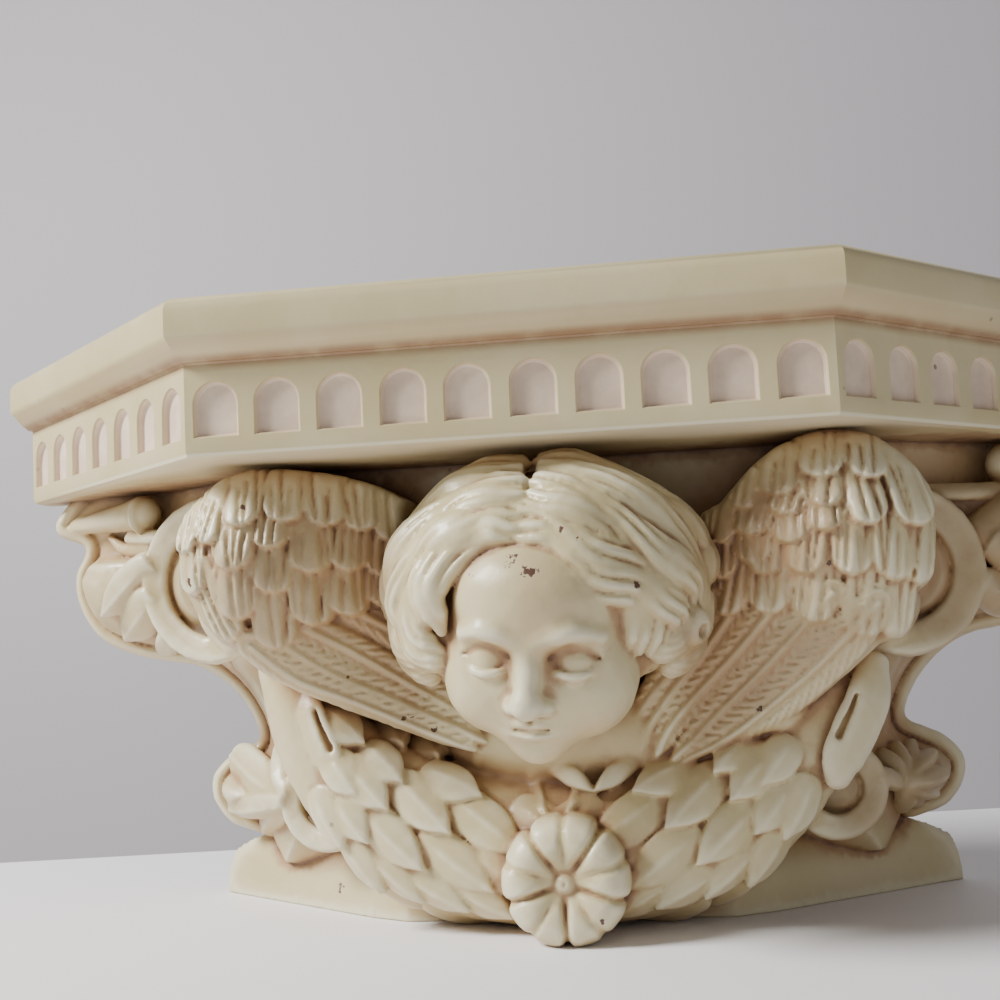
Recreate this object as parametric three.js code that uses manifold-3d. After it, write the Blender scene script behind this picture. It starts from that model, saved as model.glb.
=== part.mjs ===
// Cast wall bracket: a winged cherub's head under a canted shelf, between scroll consoles,
// with a leaf festoon and a rosette below it. It is one casting, so it is one closed solid.
// Millimetres, +Z up. The origin is on the flat back, on the shelf's centre line, level with
// the shelf's underside. The wall is the plane y = 0 and the front looks along -Y.

import * as THREE from 'three';
import { mergeVertices } from 'three/addons/utils/BufferGeometryUtils.js';
import Module from 'manifold-3d';

const wasm = await Module();
wasm.setup();

// Shelf
const archPitch = 14.1;
const frontArches = 10;
const sideArchPitch = 15.1;
const sideArches = 7;
const cantAngle = 45;
const shelfReturn = 7.5;
const friezeHeight = 21.4;
const splayHeight = 5;
const fasciaHeight = 9.2;
const mouldingReach = 5.5;
const mouldingStep = 1.4;
const fasciaRounding = 3.4;

// Round-headed niches in the frieze
const archWidth = 9.7;
const archHeight = 11.9;
const archFoot = 4.9;
const archDepth = 1.6;

// Bracket below the shelf, whose carving is drawn as shares of this height
const bracketHeight = 110;
const bracketShift = 5;
const plinthHeight = 18.5;
const plateDepth = 7;
const rimRadius = 3.2;

const unit = bracketHeight / 110;
const degree = Math.PI / 180;

// A place in the carving, from the bracket's centre line, the wall and the shelf's underside.
const at = (x, y, z) => new THREE.Vector3(x, y, z).multiplyScalar(unit);

function signedVolume(positions, index) {
  const [a, b, c] = [new THREE.Vector3(), new THREE.Vector3(), new THREE.Vector3()];
  let sum = 0;
  for (let i = 0; i < index.length; i += 3) {
    a.fromArray(positions, 3 * index[i]);
    b.fromArray(positions, 3 * index[i + 1]);
    c.fromArray(positions, 3 * index[i + 2]);
    sum += a.dot(b.cross(c));
  }
  return sum;
}

// A solid for joining and cutting, with its faces turned outwards.
function solid(geometry) {
  const bare = geometry.clone();
  bare.deleteAttribute('normal');
  bare.deleteAttribute('uv');
  const merged = mergeVertices(bare, 1e-4);
  const vertProperties = Float32Array.from(merged.attributes.position.array);
  const triangles = [];
  const all = merged.index.array;
  for (let i = 0; i < all.length; i += 3) {
    const [a, b, c] = [all[i], all[i + 1], all[i + 2]];
    if (a !== b && b !== c && c !== a) triangles.push(a, b, c);
  }
  if (signedVolume(vertProperties, triangles) < 0) triangles.reverse();
  const triVerts = Uint32Array.from(triangles);
  return new wasm.Manifold(new wasm.Mesh({ numProp: 3, vertProperties, triVerts }));
}

const join = (solids) => solids.reduce((sum, next) => sum.add(next));

const mirrored = (geometry) => geometry.clone().scale(-1, 1, 1);

// A closed skin over rings of equal count, with both ends capped from their middles.
function loft(rings) {
  const count = rings[0].length;
  const points = rings.flat();
  const index = [];
  for (let r = 0; r + 1 < rings.length; r += 1) {
    for (let i = 0; i < count; i += 1) {
      const a = r * count + i;
      const b = r * count + ((i + 1) % count);
      index.push(a, b, b + count, a, b + count, a + count);
    }
  }
  for (const end of [0, rings.length - 1]) {
    const middle = new THREE.Vector3();
    rings[end].forEach((point) => middle.addScaledVector(point, 1 / count));
    points.push(middle);
    for (let i = 0; i < count; i += 1) {
      const pair = [end * count + i, end * count + ((i + 1) % count)];
      index.push(points.length - 1, ...(end === 0 ? pair.reverse() : pair));
    }
  }
  const geometry = new THREE.BufferGeometry().setFromPoints(points);
  geometry.setIndex(index);
  return geometry;
}

// A round bar along a curve through the given places.
function bar(places, radius, steps, sides = 5) {
  const section = new THREE.Shape().absarc(0, 0, radius * unit, 0, 2 * Math.PI);
  section.autoClose = true;
  const outline = new THREE.Shape(section.getSpacedPoints(sides).slice(0, sides));
  const extrudePath = new THREE.CatmullRomCurve3(places);
  return new THREE.ExtrudeGeometry(outline, { steps, extrudePath, bevelEnabled: false });
}

// A feather, leaf or petal from root to tip: its girth follows `shape`, pairs of a share of the
// length and a share of the width. It faces `face` and bows that way by `bow`. A ridged one has
// four sides and shows its midrib or shaft, and a full one has six.
const rounded = [[0, 0], [0.3, 0.9], [0.72, 1], [0.93, 0.6], [1, 0]];
const pointed = [[0, 0], [0.4, 1], [0.75, 0.65], [1, 0]];
const full = 6;
const towardsFront = new THREE.Vector3(0, -1, 0);

function blade(root, tip, width, thickness, choice = {}) {
  const { shape = rounded, bow = 0, face = towardsFront, sides = 4 } = choice;
  const along = tip.clone().sub(root).normalize();
  const across = new THREE.Vector3().crossVectors(face, along).normalize();
  const out = new THREE.Vector3().crossVectors(along, across);
  return loft(shape.map(([share, girth]) => {
    const middle = root.clone().lerp(tip, share).addScaledVector(out, bow * unit * Math.sin(Math.PI * share));
    return Array.from({ length: sides }, (_, i) => {
      const turn = (i * 2 * Math.PI) / sides;
      return middle.clone()
        .addScaledVector(across, (Math.cos(turn) * girth * width * unit) / 2)
        .addScaledVector(out, (Math.sin(turn) * Math.sqrt(girth) * thickness * unit) / 2);
    });
  }));
}

const ball = (centre, rx, ry, rz, across = 12, up = 8) => new THREE.SphereGeometry(1, across, up)
  .rotateX(Math.PI / 2)
  .scale(rx * unit, ry * unit, rz * unit)
  .translate(centre.x, centre.y, centre.z);

// A low mound between an outline of (x, z) pairs and the depth that `front` gives inside it.
function mound(outline, front, back) {
  const middle = [0, 1].map((k) => outline.reduce((sum, pair) => sum + pair[k], 0) / outline.length);
  const ring = (share, depth) => outline.map(([x, z]) => {
    const [px, pz] = [middle[0] + (x - middle[0]) * share, middle[1] + (z - middle[1]) * share];
    return at(px, depth === undefined ? front(px, pz) : depth, pz);
  });
  return loft([ring(0.94, back), ring(1, (back + front(...middle)) / 2), ring(0.9), ring(0.6), ring(0.25)]);
}

// Shelf: an octagon's front half, drawn from half widths, and offset outwards by `reach`.
const sideLength = sideArches * sideArchPitch;
const frontHalf = (frontArches * archPitch) / 2;
const cantWidth = sideLength * Math.cos(cantAngle * degree);
const cantDepth = sideLength * Math.sin(cantAngle * degree);
const shelfDepth = shelfReturn + cantDepth;
const shelfHalf = frontHalf + cantWidth;
const shelfHeight = friezeHeight + splayHeight + fasciaHeight;

function shelfPlan(reach, z) {
  const frontCorner = frontHalf + reach * Math.tan((cantAngle * degree) / 2);
  const backCorner = shelfReturn + reach * Math.tan(((90 - cantAngle) * degree) / 2);
  const right = [
    [shelfHalf + reach, 0],
    [shelfHalf + reach, -backCorner],
    [frontCorner, -shelfDepth - reach],
  ];
  const left = right.map(([x, y]) => [-x, y]).reverse();
  return [...right, ...left].map(([x, y]) => new THREE.Vector3(x, y, z));
}

// From the underside up: the flat frieze, a small step out, a splay and a round-topped fascia.
function shelfSlab() {
  const edge = 0.8;
  const lip = friezeHeight + splayHeight;
  const rings = [
    shelfPlan(-edge, 0),
    shelfPlan(0, edge),
    shelfPlan(0, friezeHeight),
    shelfPlan(mouldingStep, friezeHeight),
    shelfPlan(mouldingReach - edge / 2, lip - edge / 2),
    shelfPlan(mouldingReach, lip + edge / 2),
  ];
  for (const turn of [0, 30, 60, 90]) {
    const reach = mouldingReach - fasciaRounding * (1 - Math.cos(turn * degree));
    rings.push(shelfPlan(reach, shelfHeight - fasciaRounding * (1 - Math.sin(turn * degree))));
  }
  return solid(loft(rings));
}

function niche() {
  const radius = archWidth / 2;
  const outline = new THREE.Shape();
  outline.moveTo(-radius, 0).lineTo(radius, 0).lineTo(radius, archHeight - radius);
  outline.absarc(0, archHeight - radius, radius, 0, Math.PI);
  return new THREE.ExtrudeGeometry(outline, { depth: 2 * archDepth, bevelEnabled: false, curveSegments: 3 })
    .rotateX(Math.PI / 2)
    .translate(0, archDepth, archFoot);
}

function niches() {
  const cuts = [];
  const row = (count, pitch, turn, middle) => {
    for (let i = 0; i < count; i += 1) {
      const along = (i - (count - 1) / 2) * pitch;
      const cut = niche().translate(along, 0, 0).rotateZ(turn * degree).translate(...middle, 0);
      cuts.push(cut);
    }
  };
  const sideMiddle = [frontHalf + cantWidth / 2, -shelfReturn - cantDepth / 2];
  row(frontArches, archPitch, 0, [0, -shelfDepth]);
  row(sideArches, sideArchPitch, cantAngle, sideMiddle);
  row(sideArches, sideArchPitch, -cantAngle, [-sideMiddle[0], sideMiddle[1]]);
  return join(cuts.map(solid));
}

// Outline of one side of the bracket against the wall: half widths and heights.
const wallSide = new THREE.CatmullRomCurve3([
  [136, 3], [143, -5], [142, -10], [134, -14], [136.5, -24], [134, -32], [128, -38.5], [118, -43.5],
  [105, -48], [96, -55], [90, -61.5], [87.5, -66.5], [92, -71], [97.5, -77], [98, -84], [92, -91],
].map(([x, z]) => at(x, 0, z)));

// Flat plate at the wall, with the scrolls' round rim along its edge.
function wallPlate() {
  const side = wallSide.getPoints(24);
  const outline = new THREE.Shape();
  const edge = [...side, ...side.map((point) => point.clone().setX(-point.x)).reverse()];
  edge.forEach(({ x, z }, i) => (i ? outline.lineTo(x, z) : outline.moveTo(x, z)));
  return new THREE.ExtrudeGeometry(outline, { depth: plateDepth * unit, bevelEnabled: false })
    .rotateX(Math.PI / 2);
}

function rim() {
  const inset = rimRadius * unit;
  const places = wallSide.getPoints(22).map((point, i, all) => {
    const next = all[Math.min(i + 1, all.length - 1)];
    const last = all[Math.max(i - 1, 0)];
    const inward = new THREE.Vector3(next.z - last.z, 0, last.x - next.x).normalize();
    return point.clone().addScaledVector(inward, inset).setY(-plateDepth * unit);
  });
  return bar(places, rimRadius, 24, 5);
}

// Body behind the carving: half widths and depths of its canted front at a few heights.
function core() {
  const levels = [
    [2, 128, 74, 50], [-12, 128, 72, 48], [-30, 127, 66, 43], [-42, 112, 62, 40],
    [-52, 92, 58, 37], [-66, 82, 52, 34], [-80, 90, 48, 31], [-94, 84, 46, 30],
  ];
  return loft(levels.map(([z, back, front, depth]) => [
    at(back, 0, z), at(back, -4, z), at(front, -depth, z),
    at(-front, -depth, z), at(-back, -4, z), at(-back, 0, z),
  ]));
}

// Plinth: a canted foot with a quarter-round top edge.
function plinth() {
  const [half, front, depth, inset, round] = [98, 44, 40, 10.5, 5];
  const ring = (share, z) => {
    const cut = inset * share;
    const right = [
      [half - cut, 0], [half - cut, -1.5], [front + round, -depth + round + cut * 0.9],
      [front - round, -depth + cut],
    ];
    return [...right, ...right.map(([x, y]) => [-x, y]).reverse()].map(([x, y]) => at(x, y, 0).setZ(z));
  };
  const foot = -bracketHeight;
  const height = plinthHeight * unit;
  const rings = [ring(0.06, foot), ring(0, foot + 0.04 * height)];
  for (const turn of [15, 40, 65, 85]) {
    const share = 1 - Math.cos(turn * degree);
    rings.push(ring(share, foot + height * Math.sin(turn * degree)));
  }
  return loft(rings);
}

// One scroll console, on the +X side: two C-scrolls, each with a fan of petals out to the rim.
const scrolls = [
  { x: 84, y: -38, z: -28.5, radius: 16.4, band: 3.3, from: 118, to: -125 },
  { x: 63, y: -37, z: -81.5, radius: 9, band: 2.4, from: 110, to: -168 },
];

function scrollBand({ x, y, z, radius, band, from, to }) {
  const places = [];
  const steps = 10;
  for (let i = 0; i <= steps; i += 1) {
    const turn = (from + ((to - from) * i) / steps) * degree;
    const dip = 5 * Math.cos(turn);
    places.push(at(x + radius * Math.cos(turn), y + dip, z + radius * Math.sin(turn)));
  }
  return bar(places, band, 14, 5);
}

// The stem behind a scroll, hollowed inside the band and rooted in the wall plate.
function scrollCup({ x, y, z, radius }) {
  const sides = 12;
  const turned = [[1.15, -4], [1, y + 3], [0.95, y], [0.8, y + 1], [0.6, y + 7]];
  return loft(turned.map(([share, depth]) => (
    Array.from({ length: sides }, (_, i) => {
      const turn = (i * 2 * Math.PI) / sides;
      return at(x + share * radius * Math.cos(turn), depth, z + share * radius * Math.sin(turn));
    })
  )));
}

// Petals from the band's outer edge to places on the rim, each given as x, z and a width.
function petalFan({ x, y, z, radius }, rimPlaces) {
  return rimPlaces.map(([px, pz, width]) => {
    const turn = Math.atan2(pz - z, px - x);
    const root = at(x + radius * Math.cos(turn), y + 8, z + radius * Math.sin(turn));
    const face = new THREE.Vector3(Math.cos(turn) * 0.8, -1, Math.sin(turn) * 0.8);
    return blade(root, at(px, -6, pz), width, 13, { bow: 1.5, face, sides: full });
  });
}

function scrollConsole() {
  const [upper, lower] = scrolls;
  const upperPetals = [[132, -19, 12], [132, -29, 11], [124, -37, 11], [112, -43, 11], [100, -48, 10]];
  const lowerPetals = [[86, -71, 8], [92, -76, 8], [93, -82, 8], [90, -88, 8]];
  return [
    rim(),
    scrollBand(upper),
    scrollBand(lower),
    scrollCup(upper),
    scrollCup(lower),
    ...petalFan(upper, upperPetals),
    ...petalFan(lower, lowerPetals),
    bar([at(108, -22, -4), at(125, -14, -6), at(142, -6, -7.5)], 4.6, 4),
    blade(at(78, -42, -44), at(85, -8, -68), 11, 10),
    blade(at(92, -28, -46), at(90, -8, -62), 10, 10),
    blade(at(66, -36, -50), at(76, -16, -74), 11, 9),
    blade(at(58, -30, -88), at(73, -31, -79), 8, 8),
    blade(at(82, -34, -34), at(84, -40, -22), 10, 8),
  ];
}

// One wing, on the +X side, from its inner top edge round the shoulder to the tip by the chin.
const wingOutline = [
  [35, -10], [45, -5], [57, -2], [67, -1.5], [75, -5], [80, -12], [81.5, -21], [80.5, -29],
  [77.5, -37], [71.5, -44], [66, -51], [58, -58], [46, -64.5], [34, -69], [22, -70.5],
  [16, -67], [19, -58], [25, -48], [31, -36], [33, -22],
];

function wingFront(x, z) {
  const away = (x - 66) ** 2 / (2 * 18 ** 2) + (z + 22) ** 2 / (2 * 22 ** 2);
  return -50 - 24 * Math.exp(-away);
}

const wingPlace = (x, z, lift = 0) => at(x, wingFront(x, z) - lift, z);

// Rows of covert feathers follow the shoulder's arc, each row nearer to the wing's focus.
function coverts() {
  const arc = new THREE.CatmullRomCurve3(
    [[36, -9], [46, -3.5], [58, -1.5], [69, -2], [77.5, -8], [81.5, -18], [80.5, -28], [76.5, -37]]
      .map(([x, z]) => new THREE.Vector3(x, 0, z)),
  );
  const focus = new THREE.Vector3(50, 0, -44);
  const [width, length] = [11, 13];
  const rows = [
    { count: 8, near: 0, from: 0.03, to: 1 },
    { count: 6, near: 0.22, from: 0.05, to: 0.97 },
    { count: 5, near: 0.42, from: 0.12, to: 0.95 },
    { count: 3, near: 0.6, from: 0.35, to: 0.92 },
  ];
  return rows.flatMap(({ count, near, from, to }, row) => (
    Array.from({ length: count }, (_, i) => {
      const root = arc.getPoint(from + ((to - from) * i) / (count - 1)).lerp(focus, near);
      const way = focus.clone().sub(root).normalize().add(new THREE.Vector3(0, 0, -1.1)).normalize();
      const tip = root.clone().addScaledVector(way, length);
      const lift = 2.4 - 0.4 * row;
      return blade(wingPlace(root.x, root.z, -0.5), wingPlace(tip.x, tip.z, lift), width, 3.4, { bow: 1.2 });
    })
  ));
}

function primaries() {
  const feathers = 5;
  return Array.from({ length: feathers }, (_, i) => {
    const share = i / (feathers - 1);
    const root = [72 - 30 * share, -40 + 4 * share];
    const tip = [23 - 6 * share, -71 + 8 * share];
    const bend = [(root[0] + tip[0]) / 2 + 3, (root[1] + tip[1]) / 2 - 3.5];
    return loft([[0, 0.5], [0.3, 1], [0.55, 1], [0.8, 0.8], [0.97, 0.35]].map(([t, girth]) => {
      const x = (1 - t) ** 2 * root[0] + 2 * t * (1 - t) * bend[0] + t * t * tip[0];
      const z = (1 - t) ** 2 * root[1] + 2 * t * (1 - t) * bend[1] + t * t * tip[1];
      const across = new THREE.Vector2(tip[1] - root[1], root[0] - tip[0]).normalize();
      const lift = 0.5 + 2.2 * (1 - share);
      return [[1, -2.5], [0.9, lift], [-0.2, lift + 1.2], [-1, lift - 1], [-1, -2.5]].map(([side, up]) => (
        wingPlace(x + across.x * side * girth * 4.6, z + across.y * side * girth * 4.6, up)
      ));
    }));
  });
}

const wing = () => [mound(wingOutline, wingFront, -30), ...coverts(), ...primaries()];

// Head: places are given from the face's middle, turned down, aside and over as the head is.
const headTurn = new THREE.Matrix4()
  .makeRotationFromEuler(new THREE.Euler(22 * degree, 4 * degree, -5 * degree, 'ZYX'));
const faceMiddle = at(2.5, -71, -41.5);
const faceShare = 0.94;
const onFace = (x, y, z) => at(x, y, z)
  .multiplyScalar(faceShare)
  .applyMatrix4(headTurn)
  .add(faceMiddle);

function face() {
  const egg = (x, y, z, rx, ry, rz, across = 6, up = 4) => ball(at(0, 0, 0), rx, ry, rz, across, up)
    .scale(faceShare, faceShare, faceShare)
    .applyMatrix4(headTurn)
    .translate(...onFace(x, y, z).toArray());
  const pairs = [-1, 1].flatMap((side) => [
    egg(side * 9.2, -16.4, 0.2, 5.2, 3.4, 3),
    egg(side * 10, -14.5, 6, 8, 4.4, 2.6),
    egg(side * 9.5, -10.5, -7.5, 8, 7, 8),
  ]);
  return [
    egg(0, 0, 0, 22.5, 20.5, 25, 14, 10),
    egg(0, -8, 11, 18, 12, 12, 8, 6),
    blade(onFace(0, -16, 6), onFace(0, -23.4, -8.4), 7, 7, { sides: full }),
    egg(0, -16.2, -14.2, 5.6, 2.8, 2.8),
    egg(0, -10.5, -19.5, 7.5, 6, 5.5),
    ...pairs,
  ];
}

// Hair: waved locks swept from a parting above the brow, back and down at both sides.
const hairMiddle = at(1, -61, -32.5);
const hairRadii = [34.5, 28, 30];

function onHair(longitude, latitude, lift = 0) {
  const [lon, lat] = [longitude * degree, latitude * degree];
  const [rx, ry, rz] = hairRadii.map((radius) => radius + lift);
  return at(
    rx * Math.cos(lat) * Math.sin(lon),
    -ry * Math.cos(lat) * Math.cos(lon),
    rz * Math.sin(lat),
  ).add(hairMiddle);
}

function hair() {
  const locks = [];
  const rows = 5;
  for (const side of [-1, 1]) {
    for (let k = 0; k < rows; k += 1) {
      const brow = 20 + 13 * k;
      const places = Array.from({ length: 7 }, (_, i) => {
        const t = i / 6;
        const wave = 3 * Math.sin(3.5 * Math.PI * t + 1.7 * k);
        return onHair(side * (3 + (62 + 9 * k) * t) - 5, brow - (brow + 28) * t ** 2 + wave);
      });
      locks.push(bar(places, 4.4, 7));
    }
    locks.push(blade(onHair(side * 66, -12, 1), onHair(side * 50, -38, 1), 11, 9, { sides: full }));
    locks.push(blade(onHair(side * 82, -16, 1), onHair(side * 66, -44), 11, 9, { sides: full }));
  }
  return [ball(hairMiddle, ...hairRadii.map((radius) => radius - 1.5), 16, 10), ...locks];
}

// Festoon: half a garland, on the +X side, running from the console down to the rosette.
const garland = new THREE.CatmullRomCurve3(
  [[62, -40, -50], [56, -42, -65], [43, -44, -79], [24, -46, -89], [0, -47, -94]]
    .map(([x, y, z]) => at(x, y, z)),
);
const garlandHalf = (t) => 7 + 8 * Math.min(1, 1.6 * t);
const leafRooting = 4;

function onGarland(t, turn, lift = 0) {
  const along = garland.getTangentAt(t);
  const across = new THREE.Vector3().crossVectors(along, towardsFront).normalize();
  return garland.getPointAt(t)
    .addScaledVector(across, (garlandHalf(t) + lift) * unit * Math.sin(turn * degree))
    .addScaledVector(towardsFront, (11 + lift) * unit * Math.cos(turn * degree));
}

function festoon() {
  const stations = [0, 0.2, 0.4, 0.6, 0.8, 1];
  const body = loft(stations.map((t) => (
    Array.from({ length: 8 }, (_, i) => onGarland(t, i * 45))
  )));
  const columns = [[-60, 4], [-20, 5], [20, 5], [60, 4]];
  const leaves = columns.flatMap(([turn, count], column) => (
    Array.from({ length: count }, (_, i) => {
      const t = 0.1 + (0.74 * (i + 0.5 * (column % 2))) / count;
      const root = onGarland(t, turn, -leafRooting);
      const tip = onGarland(Math.min(0.99, t + 0.2), turn * 1.1, 1.6);
      const outwards = onGarland(t, turn, 10).sub(onGarland(t, turn)).normalize();
      return blade(root, tip, 12, 4.6, { shape: pointed, bow: 1.4, face: outwards });
    })
  ));
  const ribbon = bar([at(70, -40, -52), at(67, -42, -63), at(60, -42, -75), at(54, -40, -84)], 3.6, 6);
  return [body, ribbon, ...leaves];
}

// Rosette of two-lobed petals round a button, hanging to the level of the plinth's foot.
function rosette() {
  const middle = at(2, -62.5, -95.5);
  const petals = 5;
  const lobes = Array.from({ length: 2 * petals }, (_, i) => {
    const petal = Math.floor(i / 2);
    const turn = (90 + (360 / petals) * petal + (i % 2 ? 17 : -17)) * degree;
    const way = new THREE.Vector3(Math.cos(turn), 0, Math.sin(turn));
    const root = middle.clone().addScaledVector(way, 2 * unit);
    const tip = middle.clone().addScaledVector(way, 14.5 * unit).add(at(0, 1, 0));
    return blade(root, tip, 10, 7.5, { bow: 1.5, sides: full });
  });
  return [
    ball(middle.clone().add(at(0, 6, 0)), 12, 7, 12, 12, 6),
    ball(middle.clone().add(at(0, -1.5, 0)), 2.8, 3, 2.8, 8, 5),
    ...lobes,
  ];
}

// Neck between the wing tips, with the collar's point below the chin.
const neck = () => [
  ball(at(3, -44, -67), 25, 14, 14, 10, 6),
  blade(at(3, -50, -64), at(3, -59, -78), 20, 9, { shape: pointed }),
];

// The casting is flat at the wall plane and at the plinth's foot.
function trimmed(body) {
  const far = 4 * shelfHalf;
  const cutter = (depth, height, y, z) => solid(new THREE.BoxGeometry(far, depth, height).translate(0, y, z));
  return body
    .subtract(cutter(far, far, far / 2, 0))
    .subtract(cutter(far, far, 0, -bracketHeight - far / 2));
}

function bracket() {
  const pair = [...scrollConsole(), ...wing(), ...festoon()];
  const single = [wallPlate(), core(), plinth(), ...face(), ...hair(), ...rosette(), ...neck()];
  const all = [...single, ...pair, ...pair.map(mirrored)];
  const shifted = all.map((geometry) => solid(geometry.translate(bracketShift, 0, 0)));
  return join(shifted);
}

// The outer skin of a solid: sealed pockets between overlapping forms are filled.
function outerShell({ vertProperties, triVerts }) {
  const parent = Array.from({ length: vertProperties.length / 3 }, (_, i) => i);
  const find = (i) => {
    while (parent[i] !== i) {
      parent[i] = parent[parent[i]];
      i = parent[i];
    }
    return i;
  };
  for (let i = 0; i < triVerts.length; i += 3) {
    parent[find(triVerts[i])] = find(triVerts[i + 1]);
    parent[find(triVerts[i + 1])] = find(triVerts[i + 2]);
  }
  const shells = new Map();
  for (let i = 0; i < triVerts.length; i += 3) {
    const name = find(triVerts[i]);
    if (!shells.has(name)) shells.set(name, []);
    shells.get(name).push([...triVerts.slice(i, i + 3)]);
  }
  const outward = (shell) => signedVolume(vertProperties, shell.flat()) > 0;
  const faces = [...shells.values()].filter(outward).flat();
  const points = parent.map((_, i) => new THREE.Vector3().fromArray(vertProperties, 3 * i));
  return { points, faces };
}

const normalOf = (a, b, c) => b.clone().sub(a).cross(c.clone().sub(a));

// Height of a triangle over its longest side.
function slimness(a, b, c) {
  const longest = Math.max(a.distanceTo(b), b.distanceTo(c), c.distanceTo(a));
  return normalOf(a, b, c).length() / longest;
}

// Drops vertices one at a time, those first whose loss moves the surface least, until `most`
// faces are left and no face is slimmer than `slim`. Vertices that stay keep their places.
function simplified({ points, faces }, most, slim) {
  const around = points.map(() => new Set());
  faces.forEach((face, f) => face.forEach((v) => around[v].add(f)));
  const planes = points.map(() => []);
  faces.forEach(([a, b, c]) => {
    const normal = normalOf(points[a], points[b], points[c]);
    const area = normal.length();
    if (area < 1e-9) return;
    normal.divideScalar(area);
    const plane = { normal, offset: normal.dot(points[a]), area };
    [a, b, c].forEach((v) => planes[v].push(plane));
  });
  const neighbours = (v) => {
    const all = new Set();
    around[v].forEach((f) => faces[f].forEach((w) => w !== v && all.add(w)));
    return all;
  };
  const cost = (from, to) => planes[from].reduce(
    (sum, { normal, offset, area }) => sum + area * (normal.dot(points[to]) - offset) ** 2,
    1e-6 * points[from].distanceTo(points[to]),
  );
  const allowed = (from, to) => {
    const shared = [...neighbours(from)].filter((v) => neighbours(to).has(v));
    if (shared.length !== 2) return false;
    return [...around[from]].every((f) => {
      const face = faces[f];
      if (face.includes(to)) return true;
      const old = face.map((v) => points[v]);
      const made = face.map((v) => points[v === from ? to : v]);
      const [before, after] = [normalOf(...old), normalOf(...made)];
      const thin = slimness(...old) < slim;
      if (slimness(...made) < (thin ? slimness(...old) : slim)) return false;
      return thin || before.normalize().dot(after.normalize()) > 0.3;
    });
  };
  const best = (from) => {
    let found = null;
    neighbours(from).forEach((to) => {
      const price = cost(from, to);
      if ((!found || price < found.price) && allowed(from, to)) found = { from, to, price };
    });
    return found;
  };
  let left = faces.length;
  const collapse = ({ from, to }) => {
    const touched = neighbours(from);
    around[from].forEach((f) => {
      if (faces[f].includes(to)) {
        faces[f].forEach((v) => v !== from && around[v].delete(f));
        faces[f] = null;
        left -= 1;
      } else {
        faces[f] = faces[f].map((v) => (v === from ? to : v));
        around[to].add(f);
      }
    });
    around[from].clear();
    planes[to].push(...planes[from]);
    return touched;
  };
  const queue = new Map();
  const note = (v) => {
    const choice = around[v].size ? best(v) : null;
    if (choice) queue.set(v, choice);
    else queue.delete(v);
  };
  points.forEach((_, v) => note(v));
  while (left > most && queue.size) {
    const batch = [...queue.values()].sort((a, b) => a.price - b.price);
    const limit = batch[Math.floor(batch.length / 20)].price;
    const stale = new Set();
    for (const choice of batch) {
      if (choice.price > limit || left <= most) break;
      if (stale.has(choice.from) || stale.has(choice.to)) continue;
      collapse(choice).forEach((v) => {
        stale.add(v);
        neighbours(v).forEach((w) => stale.add(w));
      });
      queue.delete(choice.from);
    }
    stale.forEach(note);
  }
  return { points, faces: faces.filter(Boolean) };
}

function geometryOf({ points, faces }) {
  const corners = faces.flatMap((face) => face.map((v) => points[v]));
  const geometry = new THREE.BufferGeometry().setFromPoints(corners);
  geometry.computeVertexNormals();
  return geometry;
}

const paint = new THREE.MeshStandardMaterial({ color: 0xe6dccb, roughness: 0.5, metalness: 0 });

const shelf = shelfSlab().subtract(niches());
const casting = trimmed(shelf.add(bracket()));
const mostFaces = 9600;
const slimmestFace = 0.05;
const skin = simplified(outerShell(casting.getMesh()), mostFaces, slimmestFace);
const corbel = new THREE.Mesh(geometryOf(skin), paint);
corbel.name = 'angel_corbel';

const model = new THREE.Group();
model.add(corbel);

export default model;
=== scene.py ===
# Looks of a cast wall bracket: a winged cherub's head under a canted shelf, between scroll
# consoles, with a leaf festoon and a rosette. The carving below the shelf is modelled as signed
# distances on a grid, in millimetres from its own centre line, the wall and the shelf's underside,
# and is then joined to the shelf as one closed skin. Blender's own scene is in metres.

import math

import bpy
import numpy as np
import openvdb
from mathutils import Matrix, Vector


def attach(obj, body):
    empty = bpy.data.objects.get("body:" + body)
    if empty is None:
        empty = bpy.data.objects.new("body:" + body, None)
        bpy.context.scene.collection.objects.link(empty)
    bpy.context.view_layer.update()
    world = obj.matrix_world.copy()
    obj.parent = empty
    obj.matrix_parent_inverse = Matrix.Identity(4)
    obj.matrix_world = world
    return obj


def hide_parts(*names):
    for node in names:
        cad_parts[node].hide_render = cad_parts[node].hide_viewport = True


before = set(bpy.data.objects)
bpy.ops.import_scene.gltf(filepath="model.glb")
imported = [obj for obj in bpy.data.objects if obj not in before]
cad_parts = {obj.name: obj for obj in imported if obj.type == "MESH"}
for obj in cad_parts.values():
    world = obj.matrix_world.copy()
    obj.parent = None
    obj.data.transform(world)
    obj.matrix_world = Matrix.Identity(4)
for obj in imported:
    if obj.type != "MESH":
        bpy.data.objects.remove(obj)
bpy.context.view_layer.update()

# The carving's middle is SHIFT to the right of the shelf's, and it stands on FOOT. The grid's cells
# are STEP wide, its distances start from FAR, and a form is worked out up to MARGIN beyond its box.
MM = 0.001
SHIFT = 5.0
FOOT = -110.0
STEP = 0.55
FAR = 5.0
MARGIN = 2.6
SIDES = (-1, 1)
random = np.random.default_rng(11)


# Distance field

def smooth_min(a, b, blend):
    if blend <= 0:
        return np.minimum(a, b)
    near = np.maximum(blend - np.abs(a - b), 0) / blend
    return np.minimum(a, b) - near * near * blend * 0.25


def smooth_max(a, b, blend):
    return -smooth_min(-a, -b, blend)


def ramp(v, start, width):
    return np.clip((v - start) / width, 0, 1)


def ease(v):
    v = np.clip(v, 0, 1)
    return v * v * (3 - 2 * v)


def hump(v, width):
    return np.exp(-((v / width) ** 2))


def tapered(count, places, values):
    return np.interp(np.linspace(0, 1, count), places, values)


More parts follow.
